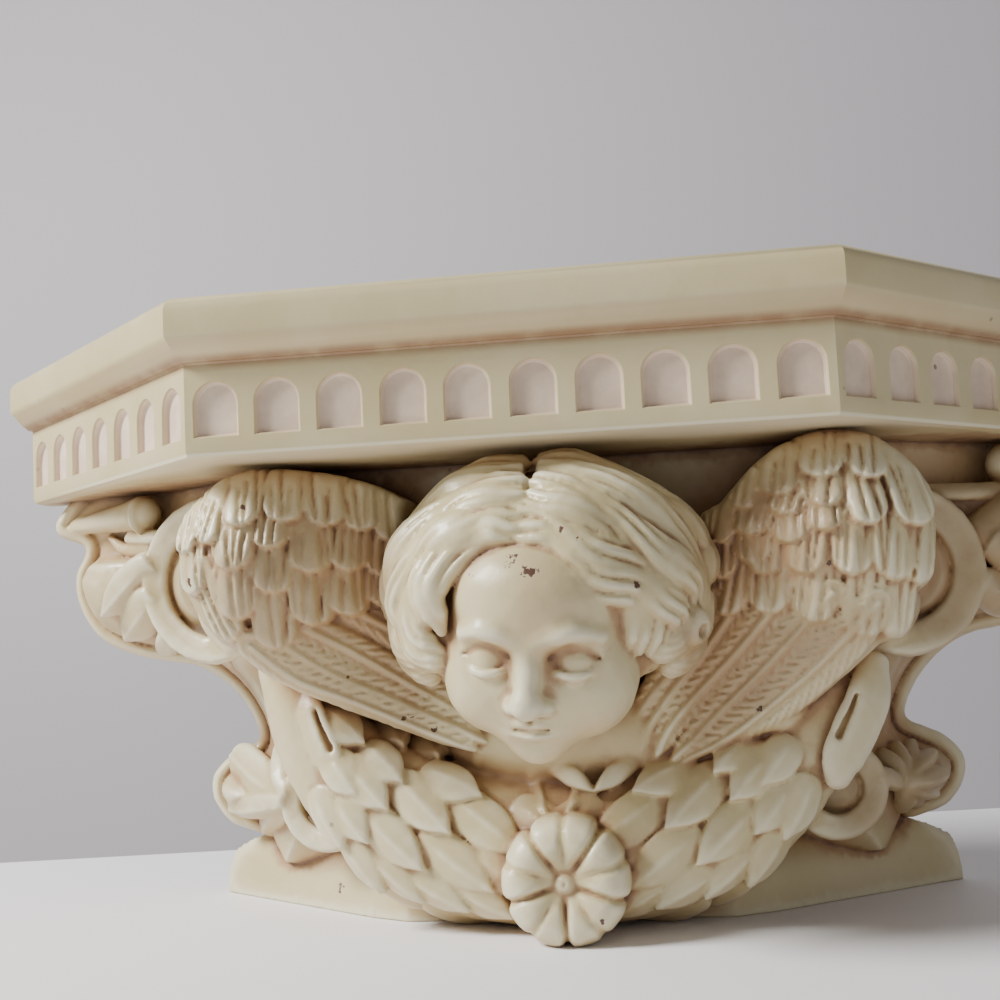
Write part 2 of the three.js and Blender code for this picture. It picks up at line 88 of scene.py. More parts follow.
def unit(v):
    v = np.asarray(v, float)
    return v / max(np.linalg.norm(v), 1e-9)


def mix(a, b, share):
    return a + (b - a) * share


def offset(x, y, z, centre):
    return x - centre[0], y - centre[1], z - centre[2]


def dot(d, way):
    return d[0] * way[0] + d[1] * way[1] + d[2] * way[2]


# The grid. A form for it is a low corner, a high corner and a function of its signed distance.
class Field:
    def __init__(self, low, high):
        self.low = np.array(low, float)
        self.axes = [np.arange(a, b, STEP, dtype=np.float32) for a, b in zip(low, high)]
        self.values = np.full([len(axis) for axis in self.axes], FAR, np.float32)

    def merge(self, form, blend, sign):
        low, high, distance = form
        cuts = []
        for axis, a, b in zip(self.axes, np.array(low) - MARGIN - blend, np.array(high) + MARGIN + blend):
            first = min(max(int((a - axis[0]) / STEP), 0), len(axis))
            last = min(max(int((b - axis[0]) / STEP) + 2, first), len(axis))
            cuts.append(slice(first, last))
        x, y, z = [axis[part] for axis, part in zip(self.axes, cuts)]
        region = tuple(cuts)
        if self.values[region].size:
            d = distance(x[:, None, None], y[None, :, None], z[None, None, :])
            self.values[region] = sign * smooth_min(sign * self.values[region], d, blend)

    def join(self, form, blend=0.0):
        self.merge(form, blend, 1)

    def carve(self, form, blend=0.0):
        self.merge(form, blend, -1)

    # Where the surface is first met from the front at (x, z), and the outward normal there.
    def front(self, x, z, deepest):
        i, k = [
            min(max(int(round((v - axis[0]) / STEP)), 2), len(axis) - 3)
            for v, axis in ((x, self.axes[0]), (z, self.axes[2]))
        ]
        column = self.values[i, :, k]
        inside = np.nonzero(column < 0)[0]
        if not len(inside) or self.axes[1][inside[0]] > deepest:
            return np.array([x, deepest, z]), np.array([0.0, -1.0, 0.0])
        j = max(inside[0], 2)
        a, b = column[j - 1], column[j]
        y = self.axes[1][j] - STEP * (b / min(b - a, -1e-6))
        v = self.values
        slope = np.array([
            v[i + 2, j, k] - v[i - 2, j, k], v[i, j + 2, k] - v[i, j - 2, k], v[i, j, k + 2] - v[i, j, k - 2],
        ])
        return np.array([x, y, z]), slope / max(np.linalg.norm(slope), 1e-6)


# A smooth line of `count` places through the given points.
def curve(points, count):
    p = np.asarray(points, float)
    padded = np.vstack([2 * p[0] - p[1], p, 2 * p[-1] - p[-2]])
    t = np.linspace(0, len(p) - 1, count)
    i = np.minimum(t.astype(int), len(p) - 2)
    f = (t - i)[:, None]
    a, b, c, d = padded[i], padded[i + 1], padded[i + 2], padded[i + 3]
    return b + 0.5 * f * (c - a + f * (2 * a - 5 * b + 4 * c - d + f * (3 * (b - c) + d - a)))


# Near its skin, the signed distance from an ellipsoid, from pairs of a coordinate and a radius.
def in_ellipse(terms):
    ratio = np.sqrt(sum((v / r) ** 2 for v, r in terms) + 1e-6)
    steep = np.sqrt(sum((v / (r * r)) ** 2 for v, r in terms) + 1e-6 / min(np.min(r) for _, r in terms) ** 2)
    return ratio * (ratio - 1) / steep


# An ellipsoid, turned by the columns of `turn`.
def egg(centre, radii, turn=np.eye(3)):
    centre = np.asarray(centre, float)
    reach = np.abs(turn) @ np.asarray(radii, float)

    def distance(x, y, z):
        d = offset(x, y, z, centre)
        return in_ellipse([(dot(d, t), r) for t, r in zip(turn.T, radii)])

    return centre - reach, centre + reach, distance


def blunt(u):
    return (1 - np.abs(2 * u - 1) ** 3) ** (1 / 3) * (0.86 + 0.14 * u)


def pointed(u):
    s = 2 * u - 1
    return np.where(s < 0, (1 - np.abs(s) ** 3) ** (1 / 3), 1 - np.abs(s) ** 1.9)


# A feather, leaf or petal from root to tip, with a crowned top and a flat back. `marks` gives how
# deep the top is cut at a share of the length and a distance across.
def blade(root, tip, width, thick, face=(0, -1, 0), outline=blunt, bow=0.0, marks=None, crown=0.5, edge=0.9):
    root, tip = np.asarray(root, float), np.asarray(tip, float)
    length = np.linalg.norm(tip - root)
    along = (tip - root) / length
    across = unit(np.cross(face, along))
    out = np.cross(along, across)
    reach = max(width, thick) / 2 + abs(bow)
    shares = np.linspace(0, 1, 65)
    halves = outline(shares) * width / 2
    leans = 1 / np.sqrt(1 + np.gradient(halves, length * shares[1]) ** 2)

    def distance(x, y, z):
        d = offset(x, y, z, root)
        u = dot(d, along) / length
        v = dot(d, across)
        inner = np.clip(u, 0, 1)
        w = dot(d, out) - bow * np.sin(math.pi * inner)
        rim = (np.abs(v) - np.interp(inner, shares, halves)) * np.interp(inner, shares, leans)
        rim = np.maximum(rim, (np.abs(u - 0.5) - 0.5) * length)
        top = w - thick / 2 * (1 - crown * np.minimum(2 * np.abs(v) / width, 1) ** 2)
        d = np.maximum(smooth_max(rim, top, edge), -w - thick / 2)
        if marks is not None:
            d = d + marks(inner, v) * np.clip(w + 0.5, 0, 1)
        return d

    return np.minimum(root, tip) - reach, np.maximum(root, tip) + reach, distance


# A bar along points, with half widths across and outwards and the outward way at each point. It is
# round, or flat on top with softened edges.
def strand(points, across, outwards, facing=(0, -1, 0), marks=None, flat=False):
    points = np.asarray(points, float)
    count = len(points)
    wide = np.broadcast_to(np.asarray(across, float), count)
    deep = np.broadcast_to(np.asarray(outwards, float), count)
    facing = np.broadcast_to(np.asarray(facing, float), (count, 3))
    tangents = np.gradient(points, axis=0)
    sides = np.array([unit(np.cross(f, t)) for f, t in zip(facing, tangents)])
    outs = np.array([unit(np.cross(t, s)) for t, s in zip(tangents, sides)])
    travel = np.concatenate([[0], np.cumsum(np.linalg.norm(np.diff(points, axis=0), axis=1))])
    reach = max(wide.max(), deep.max())

    def distance(x, y, z):
        total = np.full(np.broadcast_shapes(x.shape, y.shape, z.shape), FAR, np.float32)
        for i in range(count - 1):
            a, b = points[i], points[i + 1]
            low = np.minimum(a, b) - reach - MARGIN
            high = np.maximum(a, b) + reach + MARGIN
            cuts = []
            for axis, first, last in zip((x.ravel(), y.ravel(), z.ravel()), low, high):
                cuts.append(slice(np.searchsorted(axis, first), np.searchsorted(axis, last)))
            px, py, pz = x[cuts[0]], y[:, cuts[1]], z[:, :, cuts[2]]
            if not (px.size and py.size and pz.size):
                continue
            seg = b - a
            d = offset(px, py, pz, a)
            t = np.clip(dot(d, seg) / (seg @ seg), 0, 1)
            q = [part - t * s for part, s in zip(d, seg)]
            v, w = [
                dot(q, [mix(m, n, 0.5) + (t - 0.5) * (n - m) for m, n in zip(ways[i], ways[i + 1])])
                for ways in (sides, outs)
            ]
            e = dot(q, unit(seg))
            wid, dep = mix(wide[i], wide[i + 1], t), mix(deep[i], deep[i + 1], t)
            d = in_ellipse([(v, wid), (w, dep), (e, dep)])
            if flat:
                d = smooth_max(smooth_max(np.abs(v) - wid, np.abs(w) - dep, 1.6), np.abs(e) - dep, 1.0)
            if marks is not None:
                d = d + marks(travel[i] + t * np.linalg.norm(seg), v) * np.clip(w + 0.5, 0, 1)
            region = tuple(cuts)
            total[region] = np.minimum(total[region], d)
        return total

    return points.min(0) - reach, points.max(0) + reach, distance


# The signed distance from a closed outline in two coordinates.
def polygon_distance(outline, x, z):
    outline = np.asarray(outline, float)
    best = np.full(np.broadcast_shapes(x.shape, z.shape), 1e9, np.float32)
    inside = np.zeros(best.shape, bool)
    for a, b in zip(outline, np.roll(outline, -1, axis=0)):
        e = b - a
        wx, wz = x - a[0], z - a[1]
        t = np.clip((wx * e[0] + wz * e[1]) / max(e @ e, 1e-9), 0, 1)
        best = np.minimum(best, (wx - t * e[0]) ** 2 + (wz - t * e[1]) ** 2)
        crosses = (a[1] > z) != (b[1] > z)
        rise = e[1] if abs(e[1]) > 1e-9 else 1e-9
        inside ^= crosses & (x < a[0] + e[0] * (z - a[1]) / rise)
    return np.where(inside, -1, 1) * np.sqrt(best)


def flip(points, side):
    return [(side * p[0], *p[1:]) for p in points]


field = Field((-147.0, -99.0, -112.0), (147.0, 1.5, 3.5))
join, carve = field.join, field.carve


# Ground of the carving

WALL_SIDE = curve([
    (136, 3), (143, -5), (142, -9.5), (136, -12), (134.5, -14.5), (137.5, -21), (137, -28), (134, -34.5),
    (129.5, -39.5), (121, -43.5), (111, -45.8), (103, -47.2), (96, -51), (90, -57), (86.5, -63), (85.5, -68),
    (90, -70.5), (95, -73), (99, -78), (98.6, -84), (94, -90), (86, -93),
], 90)


def wall_plate():
    outline = np.vstack([WALL_SIDE, [(40, -94), (-40, -94)], WALL_SIDE[::-1] * (-1, 1)])

    def distance(x, y, z):
        return smooth_max(polygon_distance(outline, x, z) + 0.4, -7.0 - y, 2.0)

    return (-146, -8, -96), (146, 1, 3), distance


# The body behind the carving. Each level: height, half width at the wall and in front, depth.
def core():
    levels = np.array([
        (-94, 84, 46, 30), (-80, 88, 48, 31), (-66, 80, 52, 34), (-52, 88, 58, 36),
        (-42, 108, 62, 37), (-30, 122, 66, 38), (-12, 124, 72, 38), (4, 124, 74, 40),
    ], float)
    steep = 0.72

    def distance(x, y, z):
        back, front, depth = [np.interp(z, levels[:, 0], levels[:, n]) for n in (1, 2, 3)]
        side = (np.abs(x) - back - (front - back) * np.clip((-y - 4) / (depth - 4), 0, 1.2)) * steep
        return smooth_max(smooth_max(-depth - y, side, 4.0), -95.0 - z, 2.0)

    return (-126, -50, -95), (126, 1, 4), distance


# A low dome with canted ends.
def plinth():
    half, front, depth, soft, inset, tall = 98.0, 44.0, 40.0, 5.0, 10.5, 18.5
    right = [(half, 2), (half, -1.5), (front + soft, -depth + soft), (front - soft, -depth)]
    outline = right + [(-a, b) for a, b in reversed(right)]

    def distance(x, y, z):
        edge = polygon_distance(outline, x, y)
        rise = np.maximum(z - FOOT, 0)
        dome = in_ellipse([(np.maximum(inset + edge, 0), inset), (rise + 0 * edge, tall)])
        return np.maximum(dome, np.minimum(edge, FAR))

    return (-99, -41, FOOT), (99, 1, FOOT + tall), distance


join(wall_plate())
join(core(), 1.5)
join(plinth())


# Scroll consoles

# The flat band round a scroll, from 118 degrees over its outer side to `end` degrees.
def ring(centre, radius, end, wide, deep, tilt):
    count, cup = 26, 0.22
    cx, cy, cz = centre
    side = 1 if cx > 0 else -1
    turns = [(math.cos(t), math.sin(t)) for t in np.radians(np.linspace(118, end, count))]
    points = [(cx + side * radius * c, cy + tilt * c, cz + radius * s) for c, s in turns]
    facing = [(side * (0.25 - cup) * c, -1, -cup * s) for c, s in turns]
    taper = tapered(count, [0, 0.12, 0.85, 1], [0.5, 1, 1, 0.6])
    return strand(points, wide * taper, deep * np.sqrt(taper), facing, flat=True)


# The scrolls: middle, radius and half width of the band.
UPPER = {-1: ((-86, -37, -25), 18.0, 3.4), 1: ((82, -38, -31), 16.5, 4.0)}
LOWER = {-1: ((-59.5, -36, -81.5), 9.6, 2.7), 1: ((64.5, -37, -81.5), 8.9, 3.0)}


# How full each petal of a fan stands, from its parting grooves to its middle. `turns` are the
# partings, in degrees round the scroll.
def fan(x, z, centre, turns):
    dx, dz = x - centre[0], z - centre[1]
    turn = np.degrees(np.arctan2(dz, dx))
    full = 0 * turn
    for a, b in zip(turns, turns[1:]):
        place = np.clip((turn - a) / (b - a), 0, 1)
        full = np.maximum(full, (1 - np.abs(2 * place - 1) ** 2.2) ** 0.6)
    return full


# The carved ground of a console: it swells from the rim like a cushion, in petals round the upper
# scroll and in soft folds at the waist, and lies lower under the curl by the shelf.
def cushion(side):
    outline = np.vstack([[(-30, 14), (136, 14)], WALL_SIDE, [(80, -106), (-30, -106)]])
    upper = UPPER[side][0]
    partings = [-112, -84, -62, -40] if side < 0 else [-112, -84, -60, -32, 2, 34]
    curl_foot = 19.5 if side < 0 else 14.5
    bank, fullness = 21.0, 22.5

    def distance(x, y, z):
        across = side * x
        edge = polygon_distance(outline, across, z)
        inward = ramp(-edge, 3.6, bank)
        swell = np.sqrt(1 - (1 - inward) ** 2)
        top = fan(across, z, (side * upper[0], upper[2]), partings)
        high_up, low_down = ease((z + 52) / 8), ease((-67 - z) / 6)
        fold = 0.5 + 0.5 * np.cos((across - 0.5 * z - 117) / 9.5 * 2 * math.pi)
        waist = (1 - high_up) * (1 - low_down)
        under_curl = 1 - 0.6 * ease((z + curl_foot) / 4.0)
        depth = 6.0 + fullness * swell * under_curl
        depth = depth + np.minimum(4 * inward, 1) * (5.0 * top * high_up * under_curl + 2.2 * fold * waist)
        steep = fullness / bank * (1 - inward) / np.maximum(swell, 0.25)
        return np.maximum((-depth - y) / np.sqrt(1 + steep * steep), edge + 1.0)

    ends = sorted((side * 34, side * 146))
    return (ends[0], -46, -96), (ends[1], 1, 3), distance


# Petals laid on the upper part: root x and z, tip x and z, width.
PETALS = {
    -1: [(103, -28, 118.2, -38, 12), (104, -19, 122.4, -32, 10), (99, -36.5, 109.5, -43, 7.5)],
    1: [(103, -25, 122, -33.5, 11), (100, -34, 113, -42, 10)],
}
# Shells beside the lower scrolls: where the petals meet, and each petal's turn in degrees, length
# and width.
SHELLS = {
    -1: ((70, -81), [(66, 13, 7), (-38, 17, 8), (22, 23.5, 12.5), (-12, 23, 8.5)]),
    1: ((81, -82), [
        (158, 8.5, 5.5), (124, 8.5, 5.5), (-84, 8, 5.5), (92, 8.5, 5.5), (-54, 8.5, 5.5), (62, 9.5, 5.5),
        (-25, 10, 5.5), (33, 11, 5.5), (4, 11.5, 5.5),
    ]),
}


def midrib(u, v):
    return -0.35 * hump(v, 0.8) * ramp(u, 0.1, 0.2)


# A petal or leaf laid on what is carved so far, between two places in x and z. `limits` are the
# deepest y at its root and tip, and `lifts` how far these two stand off the surface.
def laid(root, tip, limits, lifts, width, thick, outline, bow, crown, edge=0.9):
    root, root_way = field.front(*root, limits[0])
    tip, tip_way = field.front(*tip, limits[1])
    root, tip = root + lifts[0] * root_way, tip + lifts[1] * tip_way
    return blade(root, tip, width, thick, unit(root_way + tip_way), outline, bow, midrib, crown, edge)


# Body, bowl and boss of a scroll: offset across and outwards, share of the radius, depth, blend.
def scroll(centre, radius, *eggs):
    for merge, (across, y, share, depth, blend) in zip((join, carve, join), eggs):
        merge(egg(centre + (across, y, 0), (radius * share, depth, radius * share)), blend)


def console(side):
    join(cushion(side), 0.3)
    inward = np.gradient(WALL_SIDE, axis=0)[:, ::-1] * (1, -1)
    inward /= np.linalg.norm(inward, axis=1)[:, None]
    rim = [(side * (px + 2.2 * a), -6.8, pz + 2.2 * b) for (px, pz), (a, b) in zip(WALL_SIDE, inward)]
    join(strand(rim, 2.3, 3.1), 0.3)

    upper, radius, wide = UPPER[side]
    upper = np.array(upper, float)
    scroll(upper, radius, (0, 20, 1.1, 21, 1.5), (0, -5, 0.95, 9.5, 1.2), (-side * 2.5, 8, 0.8, 8, 1.0))
    join(ring(upper, radius, -128, wide, 1.9, 5.0), 0.4)
    leaf = [upper + (-side * 6, -2, -radius), upper + (side * 3, -3, -5)]
    join(blade(*leaf, 8, 4.5, (side * 0.4, -1, 0), pointed, 1.0, crown=0.8), 0.6)

    lower, radius, wide = LOWER[side]
    lower = np.array(lower, float)
    scroll(lower, radius, (0, 18, 1.12, 18, 1.0), (0, -4, 0.92, 7, 1.0), (0, 5, 0.68, 4, 0.8))
    join(ring(lower, radius, -175, wide, 1.7, 3.0), 0.4)

    (mx, mz), petals = SHELLS[side]
    for turn, size, width in petals:
        a = math.radians(turn)
        tip = (side * (mx + size * math.cos(a)), mz + size * math.sin(a))
        join(laid((side * mx, mz), tip, (-12, -10), (-0.5, -0.8), width, 4.0, blunt, 1.5, 0.95), 0.2)

    # Curled top: a cone under the shelf, its wide end inwards with a lip round it, and a ledge
    # that runs on from the lip's lower edge.
    cone = [(137, -8.5, -7.2), (127, -14, -6.6), (117, -19.5, -6.2), (111.5, -22.5, -6)]
    wide = tapered(12, [0, 0.5, 0.85, 1], [2.0, 3.6, 4.5, 4.9])
    join(strand(curve(flip(cone, side), 12), wide, wide), 0.6)
    axis = unit((-side * 26, -14, 0))
    turn = np.column_stack([axis, np.cross((0, 0, 1), axis), (0, 0, 1)])
    join(egg((side * 110.5, -23.2, -6.4), (1.5, 5.7, 5.5), turn), 0.5)
    ledge = [(115, -20, -11.6), (106, -26, -12.6), (96, -30.5, -12.8), (84, -34, -12.6)]
    join(strand(curve(flip(ledge, side), 14), 3.0, 1.8, (0, -0.55, 0.83)), 0.5)
    for ax, az, bx, bz, width in PETALS[side]:
        ends = (side * ax, az), (side * bx, bz)
        join(laid(*ends, (-12, -12), (-0.8, 0.3), width, 4.6, pointed, 1.2, 0.9), 0.3)
    fleck = [(124, -13, -11.5), (118, -18, -15), (108, -25, -15.8)]
    join(strand(curve(flip(fleck, side), 10), np.linspace(1.0, 2.6, 10), 1.8), 0.4)


for side in SIDES:
    console(side)


# Garland between the consoles

GARLAND = curve([(66, -38, -50), (58, -42, -66), (45, -44, -80), (25, -46, -90), (0, -47, -94)], 30)


# Each leaf: root x and z, tip x and z, width. The right side mirrors the left.
LEAVES = [
    (46, -60.5, 37, -68.5, 9), (56.5, -57, 46, -66.8, 9.5), (38, -64.5, 28.5, -71.5, 8.5),
    (27.5, -67, 17, -73.5, 8.5), (53.8, -67.5, 45.8, -78, 8.5), (45.5, -66.2, 36.1, -75.6, 9),
    (52.8, -77, 43.5, -88, 8.5), (50, -69.5, 39, -81, 9), (31.8, -72.3, 17.5, -79.6, 9.2),
    (38, -73.4, 24.4, -86.8, 9.6), (46, -80.4, 30.6, -94.2, 9.6), (18, -73.2, 1.5, -83.4, 9.4),
    (24.8, -78.2, 7.6, -91.2, 10), (32, -86.5, 14.8, -99, 9.8), (36.5, -95, 20.7, -103.2, 8.6),
    (45, -90, 31.5, -101.5, 8), (26, -97.2, 10.5, -104.8, 8.6), (20, -89.5, 5, -100, 9),
    (10, -80, -4, -90, 9),
    (57.5, -76, 49.5, -89.5, 9.5), (51.5, -86.5, 41, -99.5, 9.5), (43.5, -96.5, 30.5, -106, 9),
    (33, -103, 18, -108.5, 8.5),
]


# The ribbon over each end of the festoon, from its top down.
RIBBONS = {
    -1: [
        (60.4, -46, -52.3), (59.9, -49.5, -58.7), (56.6, -51.5, -66.2), (53.7, -52, -71.7),
        (52.1, -51, -75.7),
    ],
    1: [
        (73.3, -46, -51.4), (71.4, -49.5, -59.5), (67.5, -51.5, -66.9), (64.4, -52, -72.9),
        (63.1, -51, -77.6),
    ],
}

for side in SIDES:
    path = GARLAND * (side, 1, 1)
    share = np.linspace(0, 1, len(path))
    join(strand(path, 8 + 8.5 * np.minimum(1, 1.6 * share), 10.5), 2.0)
for side in SIDES:
    leaves = []
    for ax, az, bx, bz, width in LEAVES:
        ends = (side * ax, az), (side * bx, bz)
        leaves.append(laid(*ends, (-22, -22), (-1.1, 0.9), width + 0.8, 3.4, pointed, 1.0, 0.85, 0.7))
    for leaf in leaves:
        join(leaf, 0.1)
    path = curve(flip(RIBBONS[side], side), 16)
    wide = tapered(16, [0, 0.25, 0.5, 0.75, 1], [4.2, 5.8, 6.0, 5.4, 3.0])
    join(strand(path, wide, 2.2, (side * 0.45, -1, -0.15)), 0.2)
    slot = path[4:9] + (-side * 3.2, -2.4, 0.6)
    carve(strand(slot, np.linspace(0.5, 0.9, 5), 1.2), 0.8)


# Neck with the two points of its collar, wings

join(egg((3, -41, -66), (31, 13, 13)), 3.0)
for corner in (-2.5, 19.0):
    join(blade((corner, -48, -71.0), (8.6, -55.0, -78.2), 5.0, 3, outline=pointed, bow=1.0), 0.8)

WING_OUTLINES = {
    1: [
        (36, -17), (41, -14.8), (44, -11.6), (48.3, -7.2), (53, -3.9), (57.6, -1.8), (62.8, -0.6),
        (67.6, -0.6), (74.4, -2.6), (78.8, -6.2), (83.3, -10.5), (86, -15.9), (86.6, -22.2), (86, -29.5),
        (84.3, -34.8), (82, -36.2), (81, -41.1), (77.6, -46.3), (73.3, -47.4), (67.3, -53), (59.4, -59.8),
        (50.5, -65.4), (43, -68), (36, -70.5), (27, -73.5), (19, -72), (15.5, -66), (19, -58), (25, -48),
        (31, -36), (33, -24),
    ],
    -1: [
        (33, -9.4), (38.6, -6.2), (45.6, -3.8), (52.7, -2.4), (59.9, -1.7), (65.6, -1.5), (71.9, -3),
        (77.4, -6.4), (82.3, -10.8), (84.6, -16.2), (85.2, -22.5), (83, -29.6), (80, -36), (75.6, -41),
        (70.6, -43.4), (64.4, -49), (57.8, -53), (47.6, -57.8), (37.4, -62.2), (27.2, -66.4), (19, -68.6),
        (14, -67), (15, -62), (19, -55), (25, -46), (31, -34), (33, -20),
    ],
}
# Rows of short feathers from the top down: root x and z, tip x and z, width.
COVERTS = {
    1: [
        [(46.6, -10, 44.3, -16.7, 7.5), (53.9, -6.4, 52, -14.7, 10.2), (62.5, -2.1, 60.9, -11.7, 10.8),
         (72.1, -3.1, 71.5, -12.5, 11.4), (79.1, -7.4, 82.1, -22.8, 11)],
        [(47.9, -13.9, 45.9, -22.8, 10.2), (55.3, -11.5, 52.9, -19.2, 10.4), (62.3, -9.2, 61, -18, 10.4),
         (69.2, -9.9, 71.3, -22.3, 9.4), (40.5, -16, 39.5, -24, 8)],
        [(61.8, -14, 61.4, -23.2, 10.4), (54.7, -15.5, 54.1, -25.2, 10), (82.2, -22, 81.2, -35.2, 8.2),
         (76.2, -19.2, 76, -34.2, 10.6), (47.5, -20.5, 46.5, -29, 8.6), (40, -22, 39.5, -32, 8)],
        [(67.5, -20.3, 66.7, -32.7, 9.6), (58.1, -20.7, 56.9, -32, 9.2), (50, -22.6, 48.6, -31.5, 8.6)],
        [(77.8, -32.1, 76, -46.6, 8.4), (71.3, -28.8, 68.8, -46, 11.6), (60.3, -29.3, 58.7, -42.6, 10),
         (51, -28.2, 49.1, -40, 10.2), (42.5, -28, 40, -40, 9.5)],
    ],
    -1: [
        [(66.5, -3.8, 65.6, -15.2, 10.4), (57.2, -3.5, 55.9, -14.5, 10), (48.8, -4.6, 47.8, -15.5, 9),
         (41.6, -7, 40.6, -16.8, 8.6), (35.5, -9.2, 35, -19.2, 8), (73, -6.3, 74.6, -18.6, 9),
         (81, -9, 81, -20.5, 8)],
        [(79.5, -16.5, 79, -30, 9), (67.8, -13.4, 67.6, -25, 11.4), (59.5, -11.4, 59.2, -20.5, 9.6),
         (51.5, -14, 51, -26.2, 9.4), (43.7, -14, 43.7, -26, 9.2), (36.8, -16.5, 37, -27.5, 8)],
        [(75.5, -25, 70, -40.5, 9.2), (67.2, -23.5, 68.6, -36, 11.8), (58.9, -19.5, 59.2, -30.5, 9.4),
         (51.7, -25.3, 52.3, -38, 9.6), (44.2, -24, 44.7, -36.2, 9.4), (37, -24.5, 37.4, -34.5, 8.4)],
        [(59.7, -29.5, 61.2, -43, 10.6)],
    ],
}
# Long feathers from the outermost inwards, each as a line of places in x and z.
PRIMARIES = {
    1: [
        [(72, -38.5), (64.5, -46.5), (56.8, -54), (46.6, -62.3), (37, -68.8), (28, -73)],
        [(62.5, -36), (55.5, -44), (47.5, -52.5), (38.2, -61.3), (31, -68.3), (26.5, -72.3)],
        [(54.5, -33.5), (48.9, -40.6), (42, -48.5), (33.2, -57.2), (26.4, -64.8), (23, -71.2)],
        [(46, -32.5), (41.1, -39.7), (35, -47.8), (27.4, -56.8), (21.8, -64.4), (19.5, -69.8)],
        [(39.5, -36), (34.1, -44.7), (28, -51.6), (21.8, -58.6), (18, -64), (17.5, -68.8)],
    ],
}
PRIMARIES[-1] = [
    [(66.5, -42), (61.1, -47.6), (56.3, -51.2), (45.5, -56.3), (34.8, -61.5), (25.5, -65.8), (18, -69.7)],
    [(60.9, -40.3), (54.8, -45.9), (48, -50.5), (39.3, -54.8), (30.7, -59.3), (22.7, -63.1), (16.2, -66.7)],
    [(53.8, -38.6), (46.4, -43.6), (39.7, -48.2), (32.4, -53.1), (24.5, -58), (16, -62.8)],
    [(44.7, -34.3), (36.7, -39.4), (30, -44.3), (23.5, -49.8), (15.8, -56.3)],
    [(35.7, -32.7), (28.4, -37.7), (22.6, -43), (17.4, -48.1), (14.2, -52.2)],
]


def wing_front(x, z):
    return -50 - 24 * np.exp(-((x - 66) ** 2 / 648 + (z + 22) ** 2 / 968))


def fall_away(lift, rim):
    return lift - 3.2 * np.clip(1 + rim / 0.9, 0, 1) ** 2


# A short feather from root to tip, in the wing's own x and z, as a function that gives its height
# over the wing and the distance from its outline. Its end is round and its top is incised.
def covert(root, tip, width, base):
    root, tip = np.array(root, float), np.array(tip, float)
    length = np.linalg.norm(tip - root)
    along = (tip - root) / length
    radius = width / 2
    count = 3 if width < 8.5 else 4
    ranges = ((-0.5, 0.5), (-0.12, 0.12), (-0.3, 0.25), (0.6, 1.2))
    lines = [[random.uniform(*span) for span in ranges] for n in range(count)]
    lean = random.uniform(-0.06, 0.06)

    def relief(x, z):
        dx, dz = x - root[0], z - root[1]
        u = dx * along[0] + dz * along[1]
        v = dz * along[0] - dx * along[1]
        rim = np.hypot(v, u - np.clip(u, 0, length - radius)) - radius
        share = np.clip(u / length, 0, 1)
        cut = 0
        for n, (jitter, slant, start, depth) in enumerate(lines):
            place = (n - (count - 1) / 2) * 1.7 * radius / count + jitter
            cut = cut + depth * hump(v - place - slant * u, 0.45) * ramp(share, start, 0.12)
        return fall_away(base + 1.9 * share + lean * v + 0.8 * (1 - (v / radius) ** 2) - cut, rim), rim

    return relief


# A long feather along a line of places, with a low shaft between two grooves and slanting barbs.
def flight(line, base, width):
    path = curve(line, 24)
    spans = np.diff(path, axis=0)
    lengths = np.linalg.norm(spans, axis=1)
    travel = np.concatenate([[0], np.cumsum(lengths)])
    half = np.interp(travel / travel[-1], [0, 0.2, 0.7, 0.93, 1], [0.8, 1, 0.92, 0.6, 0.25]) * width / 2
    phase = random.uniform(0, 2 * math.pi)

    def relief(x, z):
        gap, s, v = np.full(np.broadcast_shapes(x.shape, z.shape), 1e6), 0.0, 0.0
        for (px, pz), (ex, ez), size, start in zip(path, spans, lengths, travel):
            dx, dz = x - px, z - pz
            t = np.clip((dx * ex + dz * ez) / size ** 2, 0, 1)
            near = np.hypot(dx - t * ex, dz - t * ez)
            closer = near < gap
            s = np.where(closer, start + t * size, s)
            v = np.where(closer, np.sign(dx * ez - dz * ex) * near, v)
            gap = np.minimum(gap, near)
        wide = np.interp(s, travel, half)
        rim = gap - wide
        away = np.abs(v)
        shaft = 0.15 * hump(v, 0.6) - 0.75 * hump(away - 1.25, 0.5)
        wave = (s - 1.7 * away) / 3.0 * 2 * math.pi + 0.9 * np.sin(0.3 * s + phase)
        barbs = (0.5 + 0.5 * np.cos(wave)) ** 3 * ramp(away, 1.4, 0.5)
        return fall_away(base + 1.1 * (1 - (away / wide) ** 2) + shaft - 0.62 * barbs, rim), rim

    return relief


def wing(side):
    outline = WING_OUTLINES[side]
    feathers = []
    for n, line in enumerate(PRIMARIES[side]):
        feathers.append(flight(line, 2.1 - 0.5 * n, 12.0 if n == 0 else 9.6))
    for row, places in enumerate(COVERTS[side]):
        for ax, az, bx, bz, width in places:
            feathers.append(covert((ax, az), (bx, bz), width, 2.9 - 0.45 * row))

    def distance(x, y, z):
        across = side * x
        bound = polygon_distance(outline, across, z)
        edge = bound
        height = 1.6 - 1.4 * ease((-27 - z) / 9) + 0 * edge
        for feather in feathers:
            lift, rim = feather(across, z)
            height = np.where(rim < 0, np.maximum(height, lift), height)
            edge = np.minimum(edge, rim)
        edge = np.maximum(edge, bound - 0.5)
        top = (wing_front(across, z) - height - y) * 0.84
        return np.maximum(smooth_max(top, edge, 3.0), y + 30)

    ends = sorted((side * 8, side * 94))
    return (ends[0], -80, -80), (ends[1], -29, 5), distance


for side in SIDES:
    join(wing(side), 0.6)


# Head

def rotation(x_turn, y_turn, z_turn):
    return np.array(
        Matrix.Rotation(math.radians(z_turn), 3, "Z")
        @ Matrix.Rotation(math.radians(y_turn), 3, "Y")
        @ Matrix.Rotation(math.radians(x_turn), 3, "X")
    )


